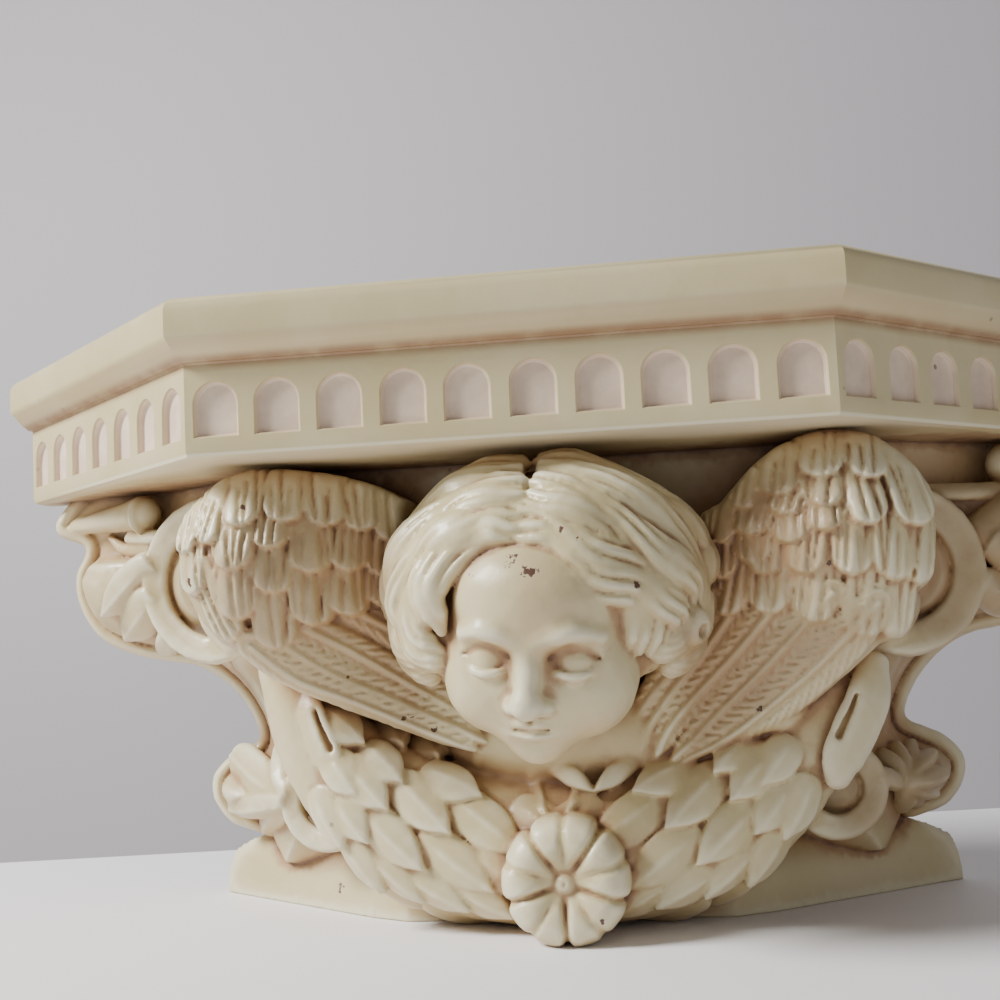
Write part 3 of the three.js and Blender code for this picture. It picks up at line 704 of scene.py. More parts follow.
HEAD_TURN = rotation(22, 4, -5)
FACE = np.array([1.0, -71.0, -41.5])
FACE_SHARE = 0.97
HAIR = np.array([1.0, -61.5, -31.5])
HAIR_RADII = np.array([34.5, 28.0, 28.6])


# Places in the face are (right, forwards, up) from its middle.
def on_face(right, forwards, up):
    return FACE + FACE_SHARE * HEAD_TURN @ np.array([right, -forwards, up])


def face_egg(place, radii):
    return egg(on_face(*place), FACE_SHARE * np.array(radii, float), HEAD_TURN)


def face_strand(places, radius, count):
    path = curve([on_face(*p) for p in places], count)
    radii = FACE_SHARE * tapered(count, np.linspace(0, 1, len(radius)), radius)
    return strand(path, radii, radii, HEAD_TURN @ np.array([0, -1, 0]))


def lump(place, radii, blend):
    join(face_egg(place, radii), blend)


def dent(place, radii, blend):
    carve(face_egg(place, radii), blend)


def ridge(places, radius, blend, count=14):
    join(face_strand(places, radius, count), blend)


def groove(places, radius, blend, count=14):
    carve(face_strand(places, radius, count), blend)


# A line across the face from its middle place and those on the right.
def mirrored(places):
    return flip(places[:0:-1], -1) + places


def face():
    join(egg((3.5, -46, -57), (13, 12, 12)), 2.0)
    lump((0, 0, 0), (22, 20, 25), 1.0)
    lump((0, 8, 13), (17, 11.5, 11), 6.0)
    for s in SIDES:
        lump((s * 10.5, 9.8, -8.5), (9.5, 8.5, 9.5), 8.0)
        dent((s * 9.3, 21.6, 1.2), (6.6, 4, 4), 4.0)
    lump((0, 12.5, -20), (6, 5.6, 5.4), 6.0)
    lump((0, 14.2, -13.2), (8.2, 5.4, 6.2), 5.0)
    ridge([(0, 17.4, 5), (0, 20.8, -1.5), (0, 23.2, -6.2)], [2.1, 2.5, 3], 3.0)
    lump((0, 23.3, -7), (3.2, 2.8, 2.8), 2.0)
    for s in SIDES:
        lump((s * 3.5, 20.4, -8), (2.1, 2.8, 2.1), 1.6)
        dent((s * 1.8, 22.2, -10.4), (1, 1.4, 0.8), 0.5)
        # Eyeball, and both lids nearly closed over it.
        lump((s * 9.2, 13.3, 0), (5.4, 5.4, 5.2), 0.3)
        lid = [(3.9, 17, -0.9), (6.4, 18.9, -1.2), (9.2, 19.4, -1.7), (12.2, 18.2, -1.5), (14.4, 15.6, -0.7)]
        ridge(flip(lid, s), [0.5, 0.9, 0.95, 0.9, 0.5], 0.5)
        under = [(4.4, 16.8, -1.8), (6.8, 18.2, -2.9), (9.4, 18.6, -3.5), (12, 17.5, -3.1), (14, 15.5, -1.8)]
        ridge(flip(under, s), [0.4, 0.7, 0.75, 0.7, 0.4], 0.8)
        crease = [(4.4, 17.6, 1.8), (7, 18.9, 3.3), (9.6, 18.8, 3.7), (12.6, 17.3, 2.9), (15, 14.9, 0.8)]
        groove(flip(crease, s), [0.4, 0.6, 0.6, 0.5, 0.3], 0.9)
        brow = [(3.2, 18.8, 6), (6.6, 19.4, 7.6), (10.5, 18.6, 8), (15, 14.9, 5.8)]
        ridge(flip(brow, s), [1, 1.6, 1.5, 0.7], 3.2)
    upper = mirrored([(0, 19.9, -12.6), (1.3, 20, -12.1), (3.4, 19, -13), (5.8, 16.9, -13.9)])
    ridge(upper, [0.6, 1.3, 1.7, 1.6, 1.7, 1.3, 0.6], 0.9, 20)
    lower = mirrored([(0, 19.7, -15.9), (2.6, 19.1, -15.6), (5, 17.3, -14.7)])
    ridge(lower, [0.6, 1.6, 2, 1.6, 0.6], 1.0, 18)
    mouth = mirrored([(0, 21, -14), (3.2, 19.9, -14.1), (6.6, 17, -14.2)])
    groove(mouth, [0.3, 0.35, 0.35, 0.35, 0.3], 0.8, 18)
    dent((0, 20.9, -18.2), (4.6, 1.7, 1.6), 2.4)
    groove([(0, 22.4, -9.8), (0, 21.2, -11.6)], [0.6, 0.7], 0.8, 4)


# Each lock runs from the parting outwards and down, as longitudes and latitudes of the hair.
LOCKS = {
    -1: [
        [(-24, 74), (-50, 64), (-72, 48), (-82, 32), (-90, 14), (-94, -4), (-88, -20)],
        [(-12, 62), (-36, 57), (-58, 45), (-74, 30), (-81, 12), (-84, -6), (-74, -22)],
        [(-7, 50), (-27, 47), (-46, 38), (-61, 26), (-70, 10), (-73, -8), (-62, -20)],
        [(-6, 40), (-22, 38), (-37, 30), (-49, 20), (-58, 7), (-63, -9), (-55, -24)],
        [(-5, 31), (-18, 31), (-31, 26), (-42, 17), (-49, 6), (-53, -8), (-52, -22), (-46, -33)],
        [(-5, 24), (-16, 25), (-27, 21), (-36, 13), (-41, 3), (-43, -9), (-42, -21)],
    ],
    1: [
        [(8, 76), (38, 67), (60, 51), (75, 34), (84, 15), (89, -2), (82, -16)],
        [(6, 64), (28, 55), (46, 41), (59, 25), (69, 9), (78, -5), (72, -18)],
        [(3, 51), (18, 43), (33, 29), (46, 14), (58, 2), (66, -10), (60, -22)],
        [(0, 40), (12, 33), (25, 19), (37, 6), (47, -5), (55, -17), (49, -27)],
        [(-2, 31), (9, 25), (20, 13), (31, 3), (41, -6), (48, -17), (50, -30)],
        [(-4, 24), (6, 19.5), (16, 10), (26, 1), (35, -8), (41, -18), (43, -28)],
    ],
}
# Each curl: root and tip in the same way, and its width.
CURLS = {
    -1: [
        ((-80, -12), (-58, -30), 11), ((-90, -14), (-74, -38), 12), ((-62, -14), (-46, -30), 10),
        ((-95, 14), (-86, -8), 12),
    ],
    1: [
        ((84, -8), (66, -26), 11), ((66, -14), (50, -30), 10), ((92, -18), (74, -38), 12),
        ((86, 22), (88, 2), 12),
    ],
}


def on_hair(lon, lat, lift=0.0):
    a, b = math.radians(lon), math.radians(lat)
    ball = np.array([math.cos(b) * math.sin(a), -math.cos(b) * math.cos(a), math.sin(b)])
    return HAIR + ball * (HAIR_RADII + lift), unit(ball / HAIR_RADII)


def hair_lock(n, knots):
    count = 26
    share = np.linspace(0, 1, count)
    sway = random.uniform(1.3, 2.1) * share + 0.37 * n
    wave = 3.0 * np.sin(2 * math.pi * sway) * np.minimum(1, 3 * share)
    lift = 0.9 * np.sin(2 * math.pi * (sway + 0.3)) * np.minimum(1, 4 * share)
    spots = zip(curve(knots, count), wave, lift)
    points, outs = zip(*[on_hair(lon + 0.4 * wv, lat + wv, lf) for (lon, lat), wv, lf in spots])
    wide = np.interp(share, [0, 0.15, 0.6, 0.88, 1], [3.2, 5.0, 5.4, 4.2, 1.6])
    phase = random.uniform(0, 2 * math.pi)

    def strands(travel, v):
        bend = v + 1.0 * np.sin(travel * 0.22 + phase)
        fade = 0.55 + 0.45 * np.sin(travel * 0.31 + 2 * phase)
        return 1.0 * fade * (0.5 + 0.5 * np.cos(bend * 2 * math.pi / 3.1 + phase)) ** 3

    join(strand(points, wide, wide * 0.66, outs, strands), 0.1)


def curl_lines(travel, v):
    return 0.3 * (0.5 + 0.5 * np.cos(v * 2 * math.pi / 2.3)) ** 2


def curl(root, tip, width):
    middle = (mix(root[0], tip[0], 0.35), mix(root[1], tip[1], 0.65) - 2)
    points, outs = zip(*[on_hair(lon, lat, 0.6) for lon, lat in curve([root, middle, tip], 12)])
    wide = tapered(12, [0, 0.4, 0.85, 1], [0.6, 1, 0.75, 0.35]) * width / 2
    join(strand(points, wide, wide * 0.72, outs, curl_lines), 0.3)


def hair():
    join(egg(HAIR + (0, 2, 0), HAIR_RADII - 2.0), 0.8)
    for side in SIDES:
        join(egg(HAIR + (side * 20.5, -5, -7), (8.0, 13, 13)), 2.0)
    for side in SIDES:
        for n, knots in enumerate(reversed(LOCKS[side])):
            hair_lock(n, knots)
        for ends in CURLS[side]:
            curl(*ends)
    temple = [(-12.1, -77.5, -32.1), (-14.5, -76.5, -37.7), (-15.3, -73.5, -43.8), (-15.0, -69.5, -49.4)]
    join(strand(curve(temple, 12), 2.6, 2.6), 1.5)
    small, outward = on_hair(66, -19, 1.5)
    join(egg(small, (4.6, 4.0, 4.6)), 0.4)
    carve(egg(small + 4.0 * outward, (1.6, 1.6, 1.6)), 0.6)
    notch, outward = on_hair(-6, 74, 0.5)
    carve(blade(notch + (0, -3, 2), notch + (-1, -9, -9), 2.2, 3.0, outward, pointed), 1.6)


face()
hair()


# Rosette

ROSE = np.array([2.0, -62.5, -96.3])
ROSE_RADIUS = 14.4


# Five broad petals, each with a fold down its middle, in a low bell round the button.
def rosette(x, y, z):
    fifth = math.radians(72)
    dx, dz = x - ROSE[0], z - ROSE[2]
    r = np.sqrt(dx * dx + dz * dz) + 0.01
    turn = np.arctan2(dz, dx) - math.radians(90)
    petal = (turn / fifth + 0.5) % 1 - 0.5
    fold = np.abs(petal) * fifth * r
    gap = (0.5 - np.abs(petal)) * fifth * r
    outline = ROSE_RADIUS * (1 - 0.10 * hump(np.abs(petal) - 0.5, 0.07) - 0.045 * hump(petal, 0.06))
    bell = 2.6 + 3.6 * np.sin(math.pi * np.clip(r / ROSE_RADIUS, 0, 1) ** 1.25 * 0.93) ** 0.9
    bell = bell - 1.5 * hump(gap, 0.75) * ramp(r, 2, 3)
    bell = bell - 0.8 * hump(fold, 0.8) * ramp(r, 3, 4)
    top = (ROSE[1] - y) - bell
    return np.maximum(smooth_max((r - outline), top * 0.85, 3.0), y - ROSE[1] - 14)


join(egg(ROSE + (0, 8, 0), (12, 8, 12)), 1.5)
join((ROSE - (15, 8, 15), ROSE + (15, 14, 15), rosette), 0.3)
join(egg(ROSE + (0, -2.6, 0), (2.5, 2.6, 2.5)), 0.3)
carve(egg(ROSE + (0, -5.4, 0), (0.8, 0.9, 0.8)), 0.5)


# Skin of the carving

# The mean of the values in a cube that reaches `radius` each way.
def box_blur(values, radius):
    cells = max(int(round(radius / STEP)), 1)
    for axis in range(3):
        sums = np.cumsum(values, axis=axis, dtype=np.float32)
        size = values.shape[axis]
        index = np.arange(size)
        above = np.minimum(index + cells, size - 1)
        below = index - cells - 1
        high_sum = np.take(sums, above, axis=axis)
        low_sum = np.take(sums, np.maximum(below, 0), axis=axis)
        shape = [1, 1, 1]
        shape[axis] = size
        low_sum = low_sum * (below >= 0).reshape(shape)
        values = (high_sum - low_sum) / (above - below).reshape(shape)
    return values


# A slight unevenness of the cast, then the flat back, the foot and the top inside the shelf.
x, y, z = [axis.reshape([-1 if n == m else 1 for m in range(3)]) for n, axis in enumerate(field.axes)]
field.values += 0.09 * np.sin(0.83 * x + 1.1) * np.sin(0.71 * y + 0.4 * x) * np.sin(0.93 * z + 0.3 * y)
for face_distance in (y, FOOT - z, z - 1.2):
    field.values = np.maximum(field.values, face_distance)

# How open each place is to its surroundings, within three reaches and with the shelf above it.
plan = polygon_distance([(141, 5), (141, -8), (70, -81), (-80, -81), (-151, -8), (-151, 5)], x, y)
with_shelf = np.minimum(field.values, np.maximum(plan, -z))
REACHES = ((1.2, 1.6), (3.0, 4.4), (4.5, 10.0))
hollows = [box_blur(np.clip(with_shelf, -reach, reach), radius) for reach, radius in REACHES]


# Values of a volume between its cells.
def sampled(volume, points):
    places = np.clip((points - field.low) / STEP, 0, np.array(volume.shape) - 1.001)
    corner = places.astype(int)
    part = places - corner
    total = np.zeros(len(points))
    for n in range(8):
        bits = np.array([n & 1, (n >> 1) & 1, (n >> 2) & 1])
        weight = np.prod(np.where(bits, part, 1 - part), axis=1)
        i, j, k = (corner + bits).T
        total += weight * volume[i, j, k]
    return total


def linked(name, data):
    item = bpy.data.objects.new(name, data)
    bpy.context.scene.collection.objects.link(item)
    return item


def new_mesh(name, points, faces):
    mesh = bpy.data.meshes.new(name)
    mesh.from_pydata(points, [], faces)
    mesh.update()
    return linked(name, mesh)


def corners(mesh):
    points = np.empty(len(mesh.vertices) * 3)
    mesh.vertices.foreach_get("co", points)
    return points.reshape(-1, 3)


def carving():
    grid = openvdb.FloatGrid()
    grid.background = FAR
    grid.copyFromArray(field.values)
    points, triangles, quads = grid.convertToPolygons(0.0, 0.0)
    places = field.low + np.asarray(points, float) * STEP
    places[:, 0] += SHIFT
    mesh = bpy.data.meshes.new("carving")
    loops = np.concatenate([np.asarray(quads, int).ravel(), np.asarray(triangles, int).ravel()])
    totals = np.repeat([4, 3], [len(quads), len(triangles)])
    starts = np.cumsum(totals) - totals
    mesh.vertices.add(len(places))
    mesh.vertices.foreach_set("co", (places * MM).astype(np.float32).ravel())
    mesh.loops.add(len(loops))
    mesh.loops.foreach_set("vertex_index", loops.astype(np.int32))
    mesh.polygons.add(len(starts))
    mesh.polygons.foreach_set("loop_start", starts.astype(np.int32))
    mesh.polygons.foreach_set("loop_total", totals.astype(np.int32))
    mesh.update(calc_edges=True)
    mesh.validate()
    return linked("carving", mesh)


def apply(piece, kind, **settings):
    modifier = piece.modifiers.new("step", kind)
    for key, value in settings.items():
        setattr(modifier, key, value)
    bpy.context.view_layer.objects.active = piece
    bpy.ops.object.modifier_apply(modifier=modifier.name)


# Turns the faces outwards where they all face inwards.
def face_out(piece):
    points = corners(piece.data)
    volume = 0.0
    for face in piece.data.polygons:
        a, b, c = points[list(face.vertices[:3])]
        volume += a @ np.cross(b, c)
    if volume < 0:
        piece.data.flip_normals()


body = carving()
face_out(body)
CARVING_FACES = 175000
apply(body, "TRIANGULATE")
apply(body, "DECIMATE", ratio=min(1.0, CARVING_FACES / len(body.data.polygons)))


# Shelf

# FRIEZE, SPLAY and FASCIA are heights from the underside up, REACH is how far the moulding stands
# out and RETURN is the straight part of each end by the wall. Niches are named arches.
ARCH_PITCH, FRONT_ARCHES = 14.1, 10
SIDE_PITCH, SIDE_ARCHES = 15.1, 7
CANT = math.radians(45)
RETURN = 7.5
FRIEZE, SPLAY, FASCIA = 21.4, 5.0, 9.2
REACH = 5.5
ARCH_WIDTH, ARCH_HEIGHT, ARCH_FOOT, ARCH_DEPTH = 9.7, 11.9, 4.9, 1.6
FRONT_HALF = FRONT_ARCHES * ARCH_PITCH / 2
CANT_WIDTH = SIDE_ARCHES * SIDE_PITCH * math.cos(CANT)
SHELF_DEPTH = RETURN + CANT_WIDTH
SHELF_HALF = FRONT_HALF + CANT_WIDTH
SHELF_TOP = FRIEZE + SPLAY + FASCIA


def shelf_plan(reach, height):
    slope = math.tan(CANT / 2)
    front = FRONT_HALF + reach * slope
    right = [
        (SHELF_HALF + reach, 0), (SHELF_HALF + reach, -RETURN - reach * slope), (front, -SHELF_DEPTH - reach),
    ]
    plan = right + [(-px, py) for px, py in reversed(right)]
    return [(px, py, height) for px, py in plan]


# Faces of a closed skin over rows of `count` corners, with a cap at each end.
def skin(rows, count, base=0):
    last = base + (rows - 1) * count
    faces = [tuple(base + n for n in reversed(range(count))), tuple(last + n for n in range(count))]
    for start in range(base, last, count):
        for n in range(count):
            a, b = start + n, start + (n + 1) % count
            faces.append((a, b, b + count, a + count))
    return faces


def shelf():
    lip = FRIEZE + SPLAY
    rounding = 3.4
    profile = [
        (-1.5, 0), (-0.5, 0.45), (0, 1.4), (0, FRIEZE - 0.5), (0.25, FRIEZE - 0.1), (1.15, FRIEZE - 0.05),
        (1.55, FRIEZE + 0.3), (3.1, FRIEZE + 1.9), (REACH - 0.75, lip - 0.75), (REACH - 0.2, lip - 0.1),
        (REACH, lip + 0.6),
    ]
    for turn in range(0, 91, 15):
        a = math.radians(turn)
        profile.append((REACH - rounding * (1 - math.cos(a)), SHELF_TOP - rounding * (1 - math.sin(a))))
    points = [p for reach, height in profile for p in shelf_plan(reach, height)]
    piece = new_mesh("shelf", np.array(points) * MM, skin(len(profile), 6))
    face_out(piece)
    return piece


# The outline of a niche, larger by `grow` all round.
def arch(grow):
    radius = ARCH_WIDTH / 2 + grow
    spring = ARCH_HEIGHT - ARCH_WIDTH / 2
    turns = np.radians(np.linspace(0, 180, 17))
    return [(-radius, -grow), (radius, -grow)] + [
        (radius * math.cos(t), spring + radius * math.sin(t)) for t in turns
    ]


# All niches as one mesh to be cut away, each with soft edges at its mouth and its bottom.
def niche_cutter():
    points, faces = [], []
    levels = [
        (0.75, -1.2), (0.42, -0.05), (0.12, 0.28), (0.0, 0.6), (-0.12, ARCH_DEPTH - 0.25),
        (-0.45, ARCH_DEPTH),
    ]

    def add(turn, middle, along, lean):
        niche = skin(len(levels), len(arch(0)), len(points))
        faces.extend(face[::-1] for face in niche)
        for grow, depth in levels:
            for a, b in arch(grow):
                px = along + a * math.cos(lean) - b * math.sin(lean)
                points.append((
                    middle[0] + px * math.cos(turn) - depth * math.sin(turn),
                    middle[1] + px * math.sin(turn) + depth * math.cos(turn),
                    ARCH_FOOT + a * math.sin(lean) + b * math.cos(lean),
                ))

    cant_x, cant_y = FRONT_HALF + CANT_WIDTH / 2, -RETURN - CANT_WIDTH / 2
    rows = [
        (FRONT_ARCHES, ARCH_PITCH, 0.0, (0.0, -SHELF_DEPTH)),
        (SIDE_ARCHES, SIDE_PITCH, CANT, (cant_x, cant_y)),
        (SIDE_ARCHES, SIDE_PITCH, -CANT, (-cant_x, cant_y)),
    ]
    for count, pitch, turn, middle in rows:
        for n in range(count):
            along = (n - (count - 1) / 2) * pitch + random.uniform(-0.15, 0.15)
            add(turn, middle, along, random.uniform(-0.012, 0.012))
    piece = new_mesh("cutter", np.array(points) * MM, faces)
    face_out(piece)
    return piece


def boolean(piece, other, operation):
    apply(piece, "BOOLEAN", operation=operation, object=other, solver="MANIFOLD")
    bpy.data.objects.remove(other)


casting = shelf()
boolean(casting, niche_cutter(), "DIFFERENCE")
boolean(casting, body, "UNION")
casting.name = "corbel_casting"
casting.data.name = "corbel_casting"
apply(casting, "TRIANGULATE")


# What the paint follows

CHIPS = [
    (-3.3, -26.4, 1.3), (1.2, -28.9, 1.2), (-11.8, -28.3, 0.8), (3.8, -34, 0.6), (10.7, -22.5, 0.7),
    (22, -32.4, 0.7),
    (7.5, -20.5, 0.6), (-79.4, -26.2, 1), (-65.2, -10.7, 0.7), (46.8, -61.1, 0.7), (-35.1, -60.1, 0.7),
    (-28.1, -63.1, 0.7), (-46.8, -50.4, 0.6), (30, -86, 0.6), (-59.7, -103.5, 1), (10, -104, 0.6),
    (24, -44, 0.4), (-33, -60, 0.6), (62, -30, 0.6),
]


# How much brown glaze and painted shade lies on each place: most inside the wings, behind the
# first long feather and inside the consoles, the right one most, as the right is turned from the light.
def glazed_and_shaded(local):
    lx, ly, lz = local.T
    glaze_and_shade = np.zeros(len(local))
    for side in SIDES:
        left = side < 0
        across = side * lx
        on_wing = ramp(-ly, 44, 4) * ramp(across, 26, 6)
        middle, reach = ((53, -28), (22, 17)) if left else ((51, -23), (16, 14))
        inner = np.exp(-(((across - middle[0]) / reach[0]) ** 2 + ((lz - middle[1]) / reach[1]) ** 2))
        behind = ramp(lz + 47 + 0.78 * (72 - across), 0, 9) * ramp(-lz, 36, 8) * (0.55 if left else 0.85)
        on_wing = on_wing * np.maximum(np.minimum(1.4 * inner, 0.8 if left else 1), behind)
        low = ramp(across, 30, 20) * ramp(ly, -42, 5) * ramp(-ly, 8.5, 3) * ramp(-lz, 6, 6)
        low = low * ramp(lz, -96, 4) * (0.25 if left else 0.75)
        glaze_and_shade = np.maximum(glaze_and_shade, np.maximum(on_wing, low))
        for centre, radius, _ in (UPPER[side], LOWER[side]):
            gap = np.hypot(lx - centre[0], lz - centre[2])
            bowl = ramp(radius - 1.5 - gap, 0, 2) * ramp(ly, -46, 2) * (0.5 if left else 0.95)
            glaze_and_shade = np.maximum(glaze_and_shade, bowl)
    return glaze_and_shade


# Writes what the paint follows to the vertices. Places over SEAM belong to the shelf.
SEAM = 1.3


def paint_masks(mesh):
    points = corners(mesh) / MM
    local = points - (SHIFT, 0, 0)
    fine, broad, wide_hollow = [sampled(volume, local) for volume in hollows]
    recess = np.clip(-fine / 0.5, -1, 1) * 0.6 + np.clip(-broad / 1.5, -1, 1) * 0.5
    above = points[:, 2] > SEAM
    # Painted shade: browner where little of the surroundings is open, except on the shelf.
    shade = np.where(above, 0, np.clip(0.5 - wide_hollow / 3.2, 0, 1))
    front_gap = SHELF_DEPTH + points[:, 1]
    cant_gap = (SHELF_HALF + RETURN - (np.abs(points[:, 0]) - points[:, 1])) * math.sin(CANT)
    inset = np.minimum(front_gap, cant_gap)
    in_niche = above & (points[:, 2] < FRIEZE - 1) & (inset > 0.4)
    recess = np.where(above, np.where(in_niche, np.clip(inset / ARCH_DEPTH, 0, 1), -0.05), recess)
    chip = np.zeros(len(points))
    for cx, cz, radius in CHIPS:
        spot, _ = field.front(cx, cz, -4)
        gap = np.linalg.norm((local - spot) * (1, 0.7, 1), axis=1)
        chip = np.maximum(chip, np.clip(1.5 - gap / radius, 0, 1))
    masks = {"glaze_and_shade": glazed_and_shaded(local), "recess": recess, "shade": shade, "niche": in_niche, "chip": chip}
    for name, values in masks.items():
        layer = mesh.attributes.new(name, "FLOAT", "POINT")
        layer.data.foreach_set("value", values.astype(np.float32))


# Smooth shading, with sharp edges only on the shelf.
def shade_smooth(mesh):
    mesh.polygons.foreach_set("use_smooth", np.ones(len(mesh.polygons), bool))
    mesh.set_sharp_from_angle(angle=math.radians(32))
    heights = corners(mesh)[:, 2]
    ends = np.empty(len(mesh.edges) * 2, int)
    mesh.edges.foreach_get("vertices", ends)
    sharp = mesh.attributes["sharp_edge"]
    flags = np.empty(len(mesh.edges), bool)
    sharp.data.foreach_get("value", flags)
    flags &= heights[ends.reshape(-1, 2)].min(axis=1) > -0.0001
    sharp.data.foreach_set("value", flags)


paint_masks(casting.data)
shade_smooth(casting.data)


# Material

class Nodes:
    def __init__(self, name):
        self.material = bpy.data.materials.new(name)
        self.material.use_nodes = True
        self.tree = self.material.node_tree
        self.tree.nodes.clear()

    def add(self, kind, values=None, **settings):
        node = self.tree.nodes.new(kind)
        for key, value in settings.items():
            setattr(node, key, value)
        for key, value in (values or {}).items():
            if isinstance(value, bpy.types.NodeSocket):
                self.tree.links.new(value, node.inputs[key])
            else:
                node.inputs[key].default_value = value
        return node

    def math(self, operation, a, b=0.0, clamp=False):
        return self.add("ShaderNodeMath", {0: a, 1: b}, operation=operation, use_clamp=clamp).outputs[0]

    def times(self, a, b):
        return self.math("MULTIPLY", a, b)

    def span(self, value, low, high, to_low=0.0, to_high=1.0):
        return self.add("ShaderNodeMapRange", {
            "Value": value, "From Min": low, "From Max": high, "To Min": to_low, "To Max": to_high,
        }, interpolation_type="SMOOTHSTEP").outputs["Result"]

    def noise(self, place, scale, detail=3.0, roughness=0.55):
        return self.add("ShaderNodeTexNoise", {
            "Vector": place, "Scale": scale, "Detail": detail, "Roughness": roughness,
        }).outputs["Fac"]

    def layer(self, name):
        return self.add("ShaderNodeAttribute", attribute_name=name).outputs["Fac"]

    def parts(self, vector):
        return self.add("ShaderNodeSeparateXYZ", {0: vector}).outputs

    # Lays a colour over another one. Colours are (red, green, blue).
    def over(self, share, below, color):
        below = (*below, 1) if isinstance(below, tuple) else below
        return self.add("ShaderNodeMix", {0: share, 6: below, 7: (*color, 1)}, data_type="RGBA").outputs[2]

    def surface(self, values):
        shader = self.add("ShaderNodeBsdfPrincipled", values)
        self.add("ShaderNodeOutputMaterial", {"Surface": shader.outputs[0]})
        return self.material


def paint_material():
    # The paint carries painted shade and shadow as well as its glaze, wear, chips and specks.
    n = Nodes("aged_paint_and_painted_shade")
    place = n.add("ShaderNodeTexCoord").outputs["Object"]
    axes = n.parts(place)
    layers = ("recess", "shade", "niche", "chip", "glaze_and_shade")
    recess, shade, niche, chip, glaze_and_shade = [n.layer(name) for name in layers]
    clouds = n.noise(place, 28.0, 4.0)
    patches = n.noise(place, 90.0, 5.0, 0.62)
    grit = n.noise(place, 900.0, 3.0, 0.6)

    # Cream with brown glaze and painted shade, rubbed pale edges, more painted shade deep in and underneath.
    cream = n.over(n.span(clouds, 0.35, 0.68), (0.56, 0.475, 0.255), (0.62, 0.54, 0.325))
    cream = n.over(n.span(patches, 0.45, 0.75, 0.0, 0.5), cream, (0.60, 0.505, 0.295))
    edge = n.span(recess, -0.1, -0.6)
    # Brown glaze together with painted shade, inside the wings and consoles.
    cream = n.over(n.times(glaze_and_shade, n.span(patches, 0.2, 0.7, 0.95, 0.6)), cream, (0.28, 0.16, 0.075))
    rub = n.times(edge, n.span(glaze_and_shade, 0.1, 0.9, 0.75, 0.12))
    cream = n.over(rub, cream, (0.78, 0.73, 0.54))
    # Painted shade in deep, closed-in places.
    cream = n.over(n.span(shade, 0.38, 0.95, 0.0, 0.85), cream, (0.45, 0.275, 0.13))
    # Painted shade on faces that turn downwards.
    facing = n.parts(n.add("ShaderNodeNewGeometry").outputs["Normal"])[2]
    cream = n.over(n.span(facing, -0.25, -0.8, 0.0, 0.4), cream, (0.45, 0.28, 0.13))

    # Brown in the hollows, in two steps.
    worn = n.math("ADD", recess, n.span(patches, 0.3, 0.7, -0.14, 0.14))
    tan = n.span(worn, 0.02, 0.46, 0.0, 0.9)
    color = n.over(tan, cream, (0.36, 0.215, 0.105))
    color = n.over(n.span(worn, 0.42, 0.85, 0.0, 0.9), color, (0.17, 0.08, 0.04))

    # Pinkish niches, a painted shadow as the dark line under the moulding, and warmer outer ends of the
    # consoles.
    pink = n.times(niche, n.span(patches, 0.25, 0.8, 0.62, 0.93))
    color = n.over(pink, color, (0.84, 0.69, 0.54))
    # Painted shadow: a dark band under the moulding's overhang.
    under = n.times(n.span(axes[2], 0.0188, 0.0214), n.span(axes[2], 0.0232, 0.0216))
    moulding_shadow = n.times(under, n.span(patches, 0.26, 0.6, 0.5, 1.0))
    color = n.over(moulding_shadow, color, (0.31, 0.18, 0.09))
    outward = n.math("ABSOLUTE", n.math("SUBTRACT", axes[0], SHIFT * MM))
    rims = n.times(n.span(outward, 0.082, 0.125), n.span(axes[1], -0.034, -0.012))
    warm = n.times(n.times(rims, n.span(axes[2], 0.002, -0.004)), n.span(clouds, 0.25, 0.7, 0.15, 0.6))
    color = n.over(warm, color, (0.62, 0.48, 0.26))

    # Dark specks, and chips with a ragged edge.
    cells = n.add("ShaderNodeTexVoronoi", {"Vector": place, "Scale": 210.0})
    seed = n.add("ShaderNodeSeparateColor", {0: cells.outputs["Color"]}).outputs[0]
    speck = n.times(n.span(cells.outputs["Distance"], 0.16, 0.09), n.math("GREATER_THAN", seed, 0.93))
    speck = n.times(speck, n.span(clouds, 0.42, 0.6))
    color = n.over(n.times(speck, 0.75), color, (0.16, 0.09, 0.06))
    flake = n.math("ADD", chip, n.span(n.noise(place, 700.0, 4.0, 0.7), 0.3, 0.7, -0.45, 0.45))
    flake = n.times(n.span(flake, 0.5, 0.6), n.span(chip, 0.02, 0.1))
    color = n.over(flake, color, (0.10, 0.05, 0.03))

    rough = n.span(patches, 0.3, 0.75, 0.34, 0.48)
    rough = n.math("ADD", rough, n.times(tan, 0.22), clamp=True)
    height = n.math("ADD", n.times(grit, 0.25), n.times(patches, 0.9))
    height = n.math("SUBTRACT", height, n.times(flake, 0.8))
    bump = n.add("ShaderNodeBump", {"Height": height, "Strength": 0.35, "Distance": 0.0005})
    return n.surface({
        "Base Color": color, "Roughness": rough, "Normal": bump.outputs[0],
        "Specular IOR Level": 0.5, "Coat Weight": 0.1, "Coat Roughness": 0.22,
    })


casting.data.materials.clear()
casting.data.materials.append(paint_material())
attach(casting, "root")
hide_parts("angel_corbel")


# Camera, floor, backdrop, light

# Where the eye is, the directions it sees as right, down and forwards, and the focal length and
# width of the picture in pixels.
EYE = Vector((0.036638, -0.356021, -0.037422))
RIGHT = Vector((0.98902832, 0.14032439, -0.04617409))
DOWN = Vector((-0.05790739, 0.08071551, -0.99505364))
FORWARD = Vector((-0.13590333, 0.98681005, 0.08795575))
FOCAL = 1306.65
IMAGE = 1000.0

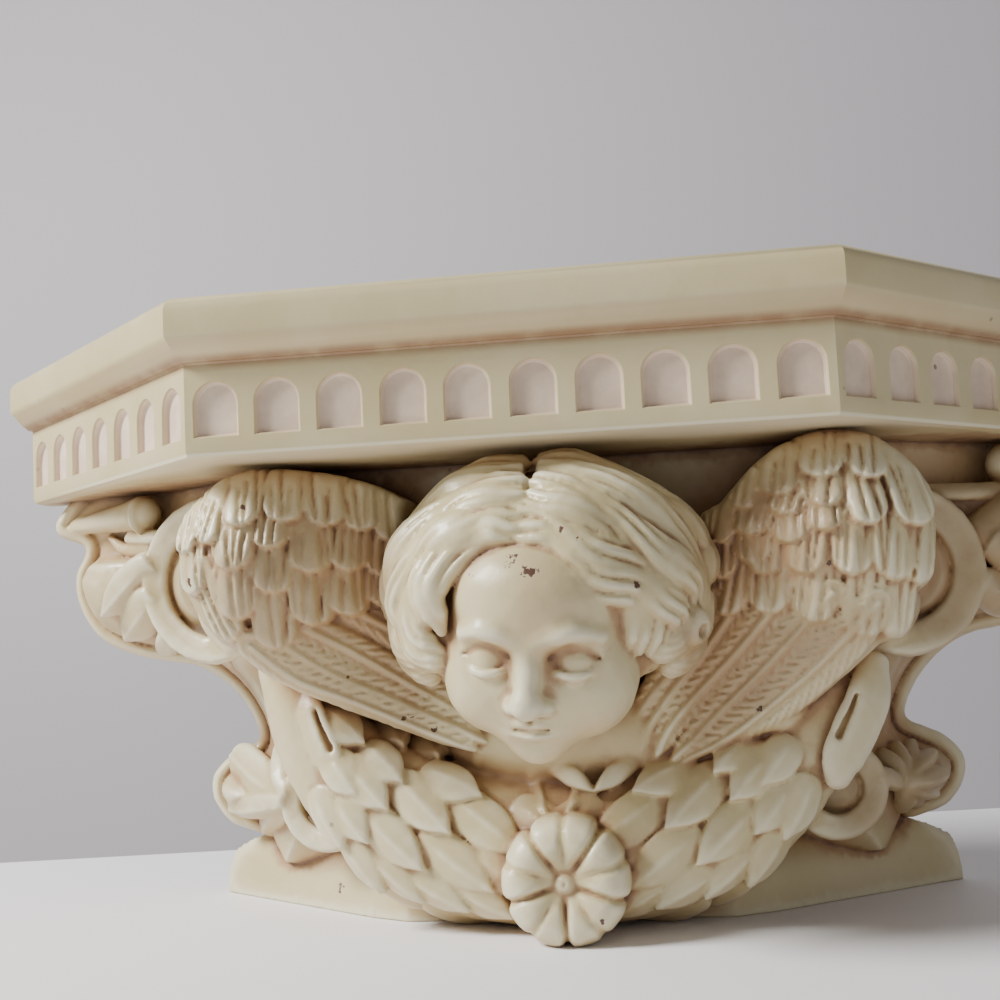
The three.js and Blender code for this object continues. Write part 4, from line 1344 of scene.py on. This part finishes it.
camera_data = bpy.data.cameras.new("camera")
camera_data.sensor_width = 36.0
camera_data.lens = FOCAL / IMAGE * camera_data.sensor_width
camera_data.clip_start = 0.01
camera = linked("camera", camera_data)
turn = Matrix((RIGHT, -DOWN, -FORWARD)).transposed().to_4x4()
camera.matrix_world = Matrix.Translation(EYE) @ turn
bpy.context.scene.camera = camera


def seen_on_floor(u, v):
    ray = FORWARD + RIGHT * ((u - IMAGE / 2) / FOCAL) + DOWN * ((v - IMAGE / 2) / FOCAL)
    return EYE + ray * ((FOOT * MM - EYE.z) / ray.z)


def plain(name, color, roughness):
    n = Nodes(name)
    place = n.add("ShaderNodeTexCoord").outputs["Object"]
    tone = n.over(n.noise(place, 3.0, 2.0), tuple(0.97 * c for c in color), color)
    return n.surface({"Base Color": tone, "Roughness": roughness})


# The table's back edge meets the left and right borders of the picture at these heights. The edge
# runs on by WIDE each way, and the backdrop stands some way behind it.
EDGE_LEFT, EDGE_RIGHT = 863, 808
WIDE = 4.0
back_left, back_right = seen_on_floor(0, EDGE_LEFT), seen_on_floor(IMAGE, EDGE_RIGHT)
line = (back_right - back_left).normalized()
corner_a, corner_b = back_left - line * WIDE, back_right + line * WIDE
near, behind = Vector((0, -1.6, 0)), Vector((0, 0.9, 0))
drop, rise = Vector((0, 0, -0.6)), Vector((0, 0, 2.4))
floor = new_mesh("floor", [corner_a, corner_b, corner_b + near, corner_a + near], [(0, 3, 2, 1)])
for vertex in floor.data.vertices:
    vertex.co.z = FOOT * MM
floor.data.materials.append(plain("table_top", (0.93, 0.93, 0.95), 0.55))
backdrop = new_mesh("backdrop", [
    corner_a + behind + drop, corner_b + behind + drop, corner_b + behind + rise, corner_a + behind + rise,
], [(0, 1, 2, 3)])
backdrop.data.materials.append(plain("backdrop_paper", (0.80, 0.77, 0.80), 0.8))


def lamp(name, place, aim, size, power, color):
    data = bpy.data.lights.new(name, "AREA")
    data.shape = "DISK"
    data.size = size
    data.energy = power
    data.color = color
    item = linked(name, data)
    item.location = place
    item.rotation_euler = (Vector(aim) - Vector(place)).to_track_quat("-Z", "Y").to_euler()


lamp("key", (-0.88, -0.34, 0.64), (0, -0.05, -0.05), 0.40, 27.5, (1.0, 0.985, 0.955))
lamp("fill", (0.75, -0.60, 0.15), (0, -0.05, -0.03), 0.8, 0.5, (1.0, 0.96, 0.92))

world = bpy.data.worlds.new("studio")
world.use_nodes = True
background = world.node_tree.nodes["Background"]
background.inputs["Color"].default_value = (0.80, 0.79, 0.84, 1)
background.inputs["Strength"].default_value = 0.25
bpy.context.scene.world = world
